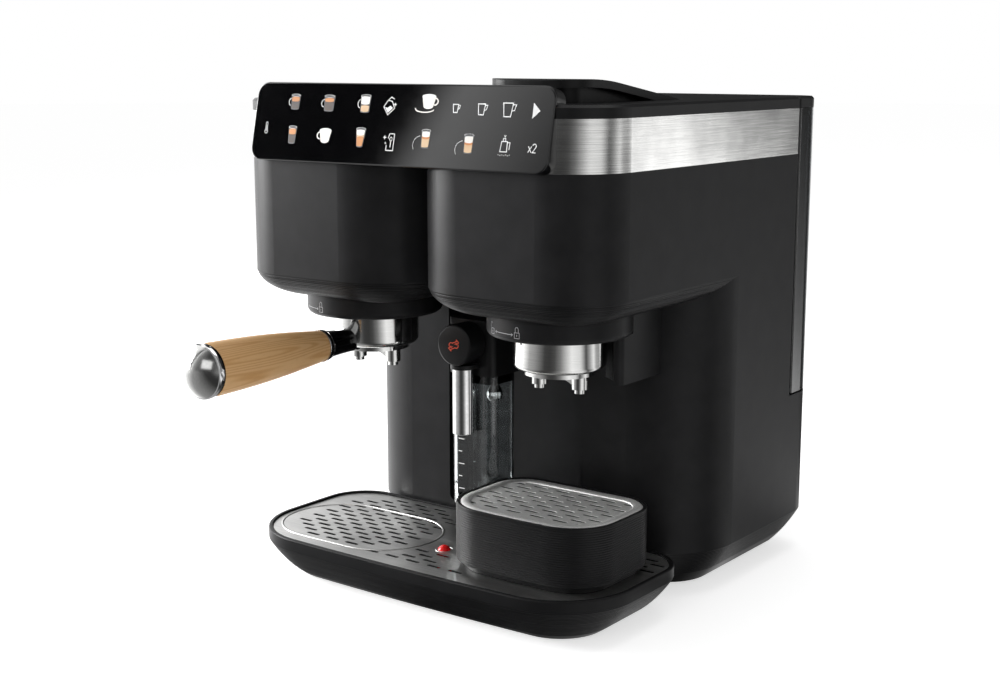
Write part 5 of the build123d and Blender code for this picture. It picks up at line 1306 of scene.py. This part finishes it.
        frame_box = [(-0.8, 20.6), (3.2, 20.6), (3.2, 10.0), (-2.6, 10.0), (-2.6, 13.4)]
        white.stroke(frame_box, line)
        white.stroke([(-0.8, 20.6), (-1.6, 17.6)], line)
        white.stroke(oval(0.7, 17.2, 1.0, 1.2), line * 0.8, closed=True)
        white.stroke([(0.7, 15.6), (0.7, 12.0)], line)
        for x, y, size in ((-4.6, 18.2, 1.7), (-3.6, 14.6, 1.0)):
            star = []
            for i in range(8):
                reach = size if i % 2 == 0 else size * 0.28
                a = radians(45 * i)
                star.append((x + reach * cos(a), y + reach * sin(a)))
            white.shape(star)

        white.shape([(107.6, 42.2), (107.6, 32.6), (112.9, 37.4)])

        jug = [(87.6, 18.6), (87.0, 12.4), (92.0, 12.4), (91.8, 18.6)]
        white.stroke(jug, line, closed=True)
        white.stroke([(92.0, 18.0), (93.8, 18.0), (93.6, 13.6)], line * 0.9)
        white.stroke([(88.6, 18.8), (88.6, 20.4), (90.4, 20.4), (90.4, 18.8)], line * 0.8)
        white.stroke([(89.0, 22.4), (89.7, 21.2), (90.4, 22.4)], line * 0.7)
        for i in range(7):
            x = 86.0 + i * 1.4
            low, high = 10.3 - 0.5 * (i % 2), 10.9 - 0.5 * (i % 2)
            white.shape([(x - 0.22, high), (x + 0.22, high), (x + 0.22, low), (x - 0.22, low)])

        white.stroke([(107.5, 16.4), (110.0, 12.6)], line * 0.9)
        white.stroke([(110.0, 16.4), (107.5, 12.6)], line * 0.9)
        two = oval(111.9, 16.4, 1.3, 1.4, 0, 165, 8)[::-1] + [(112.9, 15.6), (110.7, 12.6), (113.2, 12.6)]
        white.stroke(two, line * 0.9)

    def sizes(self, white, line):
        """Three outline cups from small to large."""
        for x, y, width, height in ((49.8, 37.7, 5.0, 5.0), (69.8, 37.5, 6.4, 6.6), (89.8, 37.6, 8.6, 8.2)):
            low, high = y - height / 2, y + height / 2
            cup = [(x - width / 2, high), (x - width * 0.36, low), (x + width * 0.22, low),
                   (x + width * 0.34, high)]
            white.stroke(cup, line * 1.1, closed=True)
            handle = [(x + width * 0.32, high - height * 0.12), (x + width * 0.62, high - height * 0.12),
                      (x + width * 0.5, high - height * 0.52), (x + width * 0.28, high - height * 0.6)]
            white.stroke(handle, line)


class CollarMarks(bpy.types.Operator):
    """Prints the padlock marks on the collars and the arrow on the right cup"""
    bl_idname = "machine.collar_marks"
    bl_label = "Collar marks"

    # The angles of each collar's shut and open padlock, in degrees round its axis.
    PADLOCKS = {"right": (-90.0, -119.0), "left": (-100.5, -129.5)}
    CUP_ARROW_ANGLE = -109.2
    CUP_ARROW_Z = 186.5

    def padlock(self, drawing, x, z, open_shackle):
        """A padlock's outline, its shackle shut or lifted aside."""
        width = 0.32
        body = [(x - 1.9, z - 4.2), (x + 1.9, z - 4.2), (x + 1.9, z - 0.6), (x - 1.9, z - 0.6)]
        drawing.stroke(body, width, closed=True)
        drawing.stroke([(x, z - 1.8), (x, z - 3.0)], width)
        shackle = [(x - 1.2, z - 0.6)] + oval(x, z + 1.4, 1.2, 1.5, 180, 20 if open_shackle else 0, 8)
        if open_shackle:
            shackle = [(u - 1.4, v + 0.5) for u, v in shackle]
        else:
            shackle.append((x + 1.2, z - 0.6))
        drawing.stroke(shackle, width)

    def execute(self, context):
        per_degree = COLLAR_RADIUS * pi / 180
        for name, angles in self.PADLOCKS.items():
            drawing = Drawing(lift=0.02, thickness=0.06)
            lock_u, open_u = [angle * per_degree for angle in angles]
            z = (COLLAR[4] + COLLAR[5]) / 2 + 1.2
            self.padlock(drawing, lock_u, z, False)
            self.padlock(drawing, open_u, z, True)
            self.double_arrow(drawing, open_u + 4.0, lock_u - 3.4, z - 2.2)

            def on_collar(u, v, lift, centre_x=SIDES[name] * GROUP_X):
                a = radians(u / per_degree)
                radius = COLLAR_RADIUS + lift
                return (centre_x + radius * cos(a), GROUP_Y + radius * sin(a), v)

            piece = drawing.build("lock_marks_" + name, on_collar)
            dress(piece, "machine", "ink_grey", "matte_body")
        self.cup_arrow(self.CUP_ARROW_ANGLE, self.CUP_ARROW_Z)
        return {"FINISHED"}

    def double_arrow(self, drawing, start, end, z):
        """An arrow with a tip at each end, in short steps that follow the collar round."""
        drawing.stroke([(start + (end - start) * i / 12, z) for i in range(13)], 0.36)
        for tip, way in ((start, 1), (end, -1)):
            drawing.stroke([(tip + way * 1.2, z + 0.9), (tip, z), (tip + way * 1.2, z - 0.9)], 0.28)

    def cup_arrow(self, angle, z):
        """The small arrow on the right cup, at that angle in degrees and that height."""
        drawing = Drawing(lift=0.01, thickness=0.05)
        drawing.shape([(-1.4, 0.0), (1.4, 0.0), (0.0, 2.4)])

        def on_cup(u, v, lift):
            a = radians(angle) + u / CUP_RADIUS
            radius = CUP_RADIUS + lift
            return (GROUP_X + radius * cos(a), GROUP_Y + radius * sin(a), z + v)

        piece = drawing.build("cup_mark", on_cup)
        dress(piece, "portafilter_right", "ink_dark", "polished_steel")


class Stage(bpy.types.Operator):
    """Sets the floor, the soft lights, the white surroundings and the camera"""
    bl_idname = "machine.stage"
    bl_label = "Stage"

    # Each soft box's place, the height above the origin it points at, and its size, in metres.
    LAMPS = {"key": ((-1.75, -0.75, 0.66), 0.18, (1.2, 1.1)), "fill": ((0.3, -2.0, 0.9), 0.12, (1.2, 0.9)),
             "top": ((0.1, 0.3, 1.7), 0.2, (1.0, 1.0))}
    # The camera's place in metres, how far it looks down and round in degrees, and its lens in mm.
    CAMERA_PLACE = (0.6349, -0.8923, 0.3684)
    CAMERA_DOWN = 10.86
    CAMERA_ROUND = 36.62
    FOCAL_LENGTH = 54.9
    BRIGHTEST = 2.5             # the brightness that white in a gleam's colour stands for
    LEAN = 0.041                # the share of a turn by which the tall gleams lean with height
    # Soft boxes and the gaps between them as (azimuth in degrees, brightness), all the way round.
    GLEAMS = ((-180, 2.4), (-160, 2.3), (-141, 1.25), (-125, 0.5), (-111, 0.38), (-97, 0.19), (-86, 0.06),
              (-74, 0.05), (-64, 0.08), (-52, 0.25), (-41, 0.65), (-29, 1.15), (-10, 0.95), (4, 0.06),
              (15, 0.5), (26, 1.2), (34, 0.5), (48, 0.4), (53, 1.6), (58, 1.9), (61, 0.6), (64.5, 0.08),
              (78, 0.1), (90, 1.1), (120, 1.5), (180, 2.4))
    # Above the horizon a tall soft box stands beside a black gap, which shows as a sharp edge in gloss.
    TALL_GLEAMS = ((-180, 1.6), (-160, 1.6), (-150, 1.2), (-147, 0.01), (-135.5, 0.01), (-135.1, 2.5),
                   (-130.5, 0.6), (-116, 0.25), (-97, 0.12), (-86, 0.06), (-60, 0.08), (-48, 0.22),
                   (-35, 0.5), (-23, 0.7), (4, 0.6), (12, 0.16), (26, 0.4), (42, 1.0), (54, 0.9), (62, 0.2),
                   (100, 0.03), (120, 0.04), (126, 0.15), (128.5, 0.45), (131.5, 1.5), (180, 1.7))

    def execute(self, context):
        self.floor(context)
        self.surroundings(context)
        stage = context.scene.machine_stage
        for name, (place, height, size) in self.LAMPS.items():
            power = stage.key_power if name == "key" else stage.fill_power
            self.lamp(name, place, (0.0, 0.0, height), power, size)
        self.camera(context)
        context.scene.view_settings.view_transform = "Standard"
        return {"FINISHED"}

    def floor(self, context):
        """A pale floor that keeps the object's shadow; polished surfaces see its gleams instead."""
        bpy.ops.mesh.primitive_circle_add(vertices=64, radius=12.0, fill_type="NGON")
        floor_disc = context.object
        floor_disc.name = "floor"
        material, tree = blank_material("pale_floor")
        colour = list(context.scene.machine_stage.floor_colour) + [1.0]
        mottle = between(tree, pattern(tree, (4, 4, 4)), 0.0, 0.06)
        matt = add_node(tree, "ShaderNodeBsdfDiffuse", {
            "Color": blend(tree, mottle, colour, linear("e6e6e6"))})
        glow = add_node(tree, "ShaderNodeEmission", {"Color": linear("ffffff"), "Strength": 0.62})
        lit = add_node(tree, "ShaderNodeAddShader", {0: matt, 1: glow})
        rays = add_node(tree, "ShaderNodeLightPath")
        place = add_node(tree, "ShaderNodeTexCoord")
        gleam = add_node(tree, "ShaderNodeEmission", {
            "Color": self.round_about(tree, place.outputs["Object"], self.GLEAMS),
            "Strength": self.BRIGHTEST})
        mirrored = mixed(tree, rays.outputs["Is Glossy Ray"], matt, gleam)
        seen = mixed(tree, rays.outputs["Is Camera Ray"], mirrored, lit)
        add_node(tree, "ShaderNodeOutputMaterial", {"Surface": seen})
        floor_disc.data.materials.append(material)

    def surroundings(self, context):
        """White to the camera and through clear plastic, gleams in gloss, soft grey light for the rest."""
        world = bpy.data.worlds.new("surroundings")
        context.scene.world = world
        world.use_nodes = True
        tree = world.node_tree
        tree.nodes.clear()
        rays = add_node(tree, "ShaderNodeLightPath")
        place = add_node(tree, "ShaderNodeTexCoord")
        plain_light = add_node(tree, "ShaderNodeBackground", {"Color": linear("ffffff"), "Strength": 0.42})
        white = add_node(tree, "ShaderNodeBackground", {"Color": linear("ffffff"), "Strength": 1.0})
        shine = add_node(tree, "ShaderNodeBackground", {
            "Color": self.round_about(tree, place.outputs["Generated"], self.TALL_GLEAMS, self.LEAN),
            "Strength": self.BRIGHTEST})
        glossy = mixed(tree, rays.outputs["Is Glossy Ray"], plain_light, shine)
        direct = calc(tree, "MAXIMUM", rays.outputs["Is Camera Ray"], rays.outputs["Is Transmission Ray"])
        seen = mixed(tree, direct, glossy, white)
        add_node(tree, "ShaderNodeOutputWorld", {"Surface": seen})

    def round_about(self, tree, direction, gleams, lean=0.0):
        """The gleams as a colour by azimuth; lean turns them with height, by that share of a turn."""
        turn = add_node(tree, "ShaderNodeTexGradient", {"Vector": direction}, gradient_type="RADIAL")
        height = add_node(tree, "ShaderNodeSeparateXYZ", {"Vector": direction}).outputs["Z"]
        ramp = add_node(tree, "ShaderNodeValToRGB", {
            "Fac": calc(tree, "MULTIPLY_ADD", height, -lean, turn.outputs["Fac"])})
        stops = ramp.color_ramp.elements
        ends = {0.0: stops[0], 1.0: stops[1]}
        for azimuth, brightness in (gleams[0], gleams[-1]) + gleams[1:-1]:
            place = azimuth / 360 + 0.5
            stop = ends.get(place) or stops.new(place)
            share = brightness / self.BRIGHTEST
            stop.color = (share, share, share, 1.0)
        return ramp

    def lamp(self, name, place, target, power, size):
        """A soft box at a place, turned towards a target, in metres."""
        light = bpy.data.lights.new(name, "AREA")
        light.shape = "RECTANGLE"
        light.size, light.size_y = size
        light.energy = power
        lamp = bpy.data.objects.new(name, light)
        lamp.location = place
        way = Vector(target) - Vector(place)
        lamp.rotation_euler = way.to_track_quat("-Z", "Y").to_euler()
        bpy.context.scene.collection.objects.link(lamp)

    def camera(self, context):
        """The view from the front right, from a little above the machine."""
        lens = bpy.data.cameras.new("camera")
        lens.lens = self.FOCAL_LENGTH
        lens.sensor_width = 36.0
        lens.clip_start = 0.01
        camera = bpy.data.objects.new("camera", lens)
        camera.location = self.CAMERA_PLACE
        camera.rotation_euler = (radians(90 - self.CAMERA_DOWN), 0.0, radians(self.CAMERA_ROUND))
        context.scene.collection.objects.link(camera)
        context.scene.camera = camera


class MachinePanel(bpy.types.Panel):
    """Lists the machine's steps, sizes and stage settings"""
    bl_idname = "VIEW3D_PT_coffee_machine"
    bl_label = "Coffee machine"
    bl_space_type = "VIEW_3D"
    bl_region_type = "UI"
    bl_category = "Coffee machine"

    def draw(self, context):
        for step in STEPS:
            self.layout.operator(step.bl_idname)
        for settings in (context.scene.machine_sizes, context.scene.machine_stage):
            box = self.layout.box()
            for name in settings.bl_rna.properties.keys():
                if name not in ("rna_type", "name"):
                    box.prop(settings, name)


STEPS = (FinishNodes, RibbedChins, RibbedSkirt, DripTray, DripPlates, CupStand, Handle, Cups, MilkUnit,
         TouchPanel, PanelIcons, CollarMarks, Stage)
CLASSES = (MachineSizes, MachineStage) + STEPS + (MachinePanel,)


def register():
    for item in CLASSES:
        bpy.utils.register_class(item)
    bpy.types.Scene.machine_sizes = bpy.props.PointerProperty(type=MachineSizes)
    bpy.types.Scene.machine_stage = bpy.props.PointerProperty(type=MachineStage)


def unregister():
    del bpy.types.Scene.machine_stage
    del bpy.types.Scene.machine_sizes
    for item in reversed(CLASSES):
        bpy.utils.unregister_class(item)


def main():
    """Runs every step in order."""
    register()
    for step in STEPS:
        name = step.bl_idname.split(".")[1]
        if getattr(bpy.ops.machine, name)() != {"FINISHED"}:
            raise RuntimeError(step.bl_label + " didn't finish")


if __name__ == "__main__":
    main()
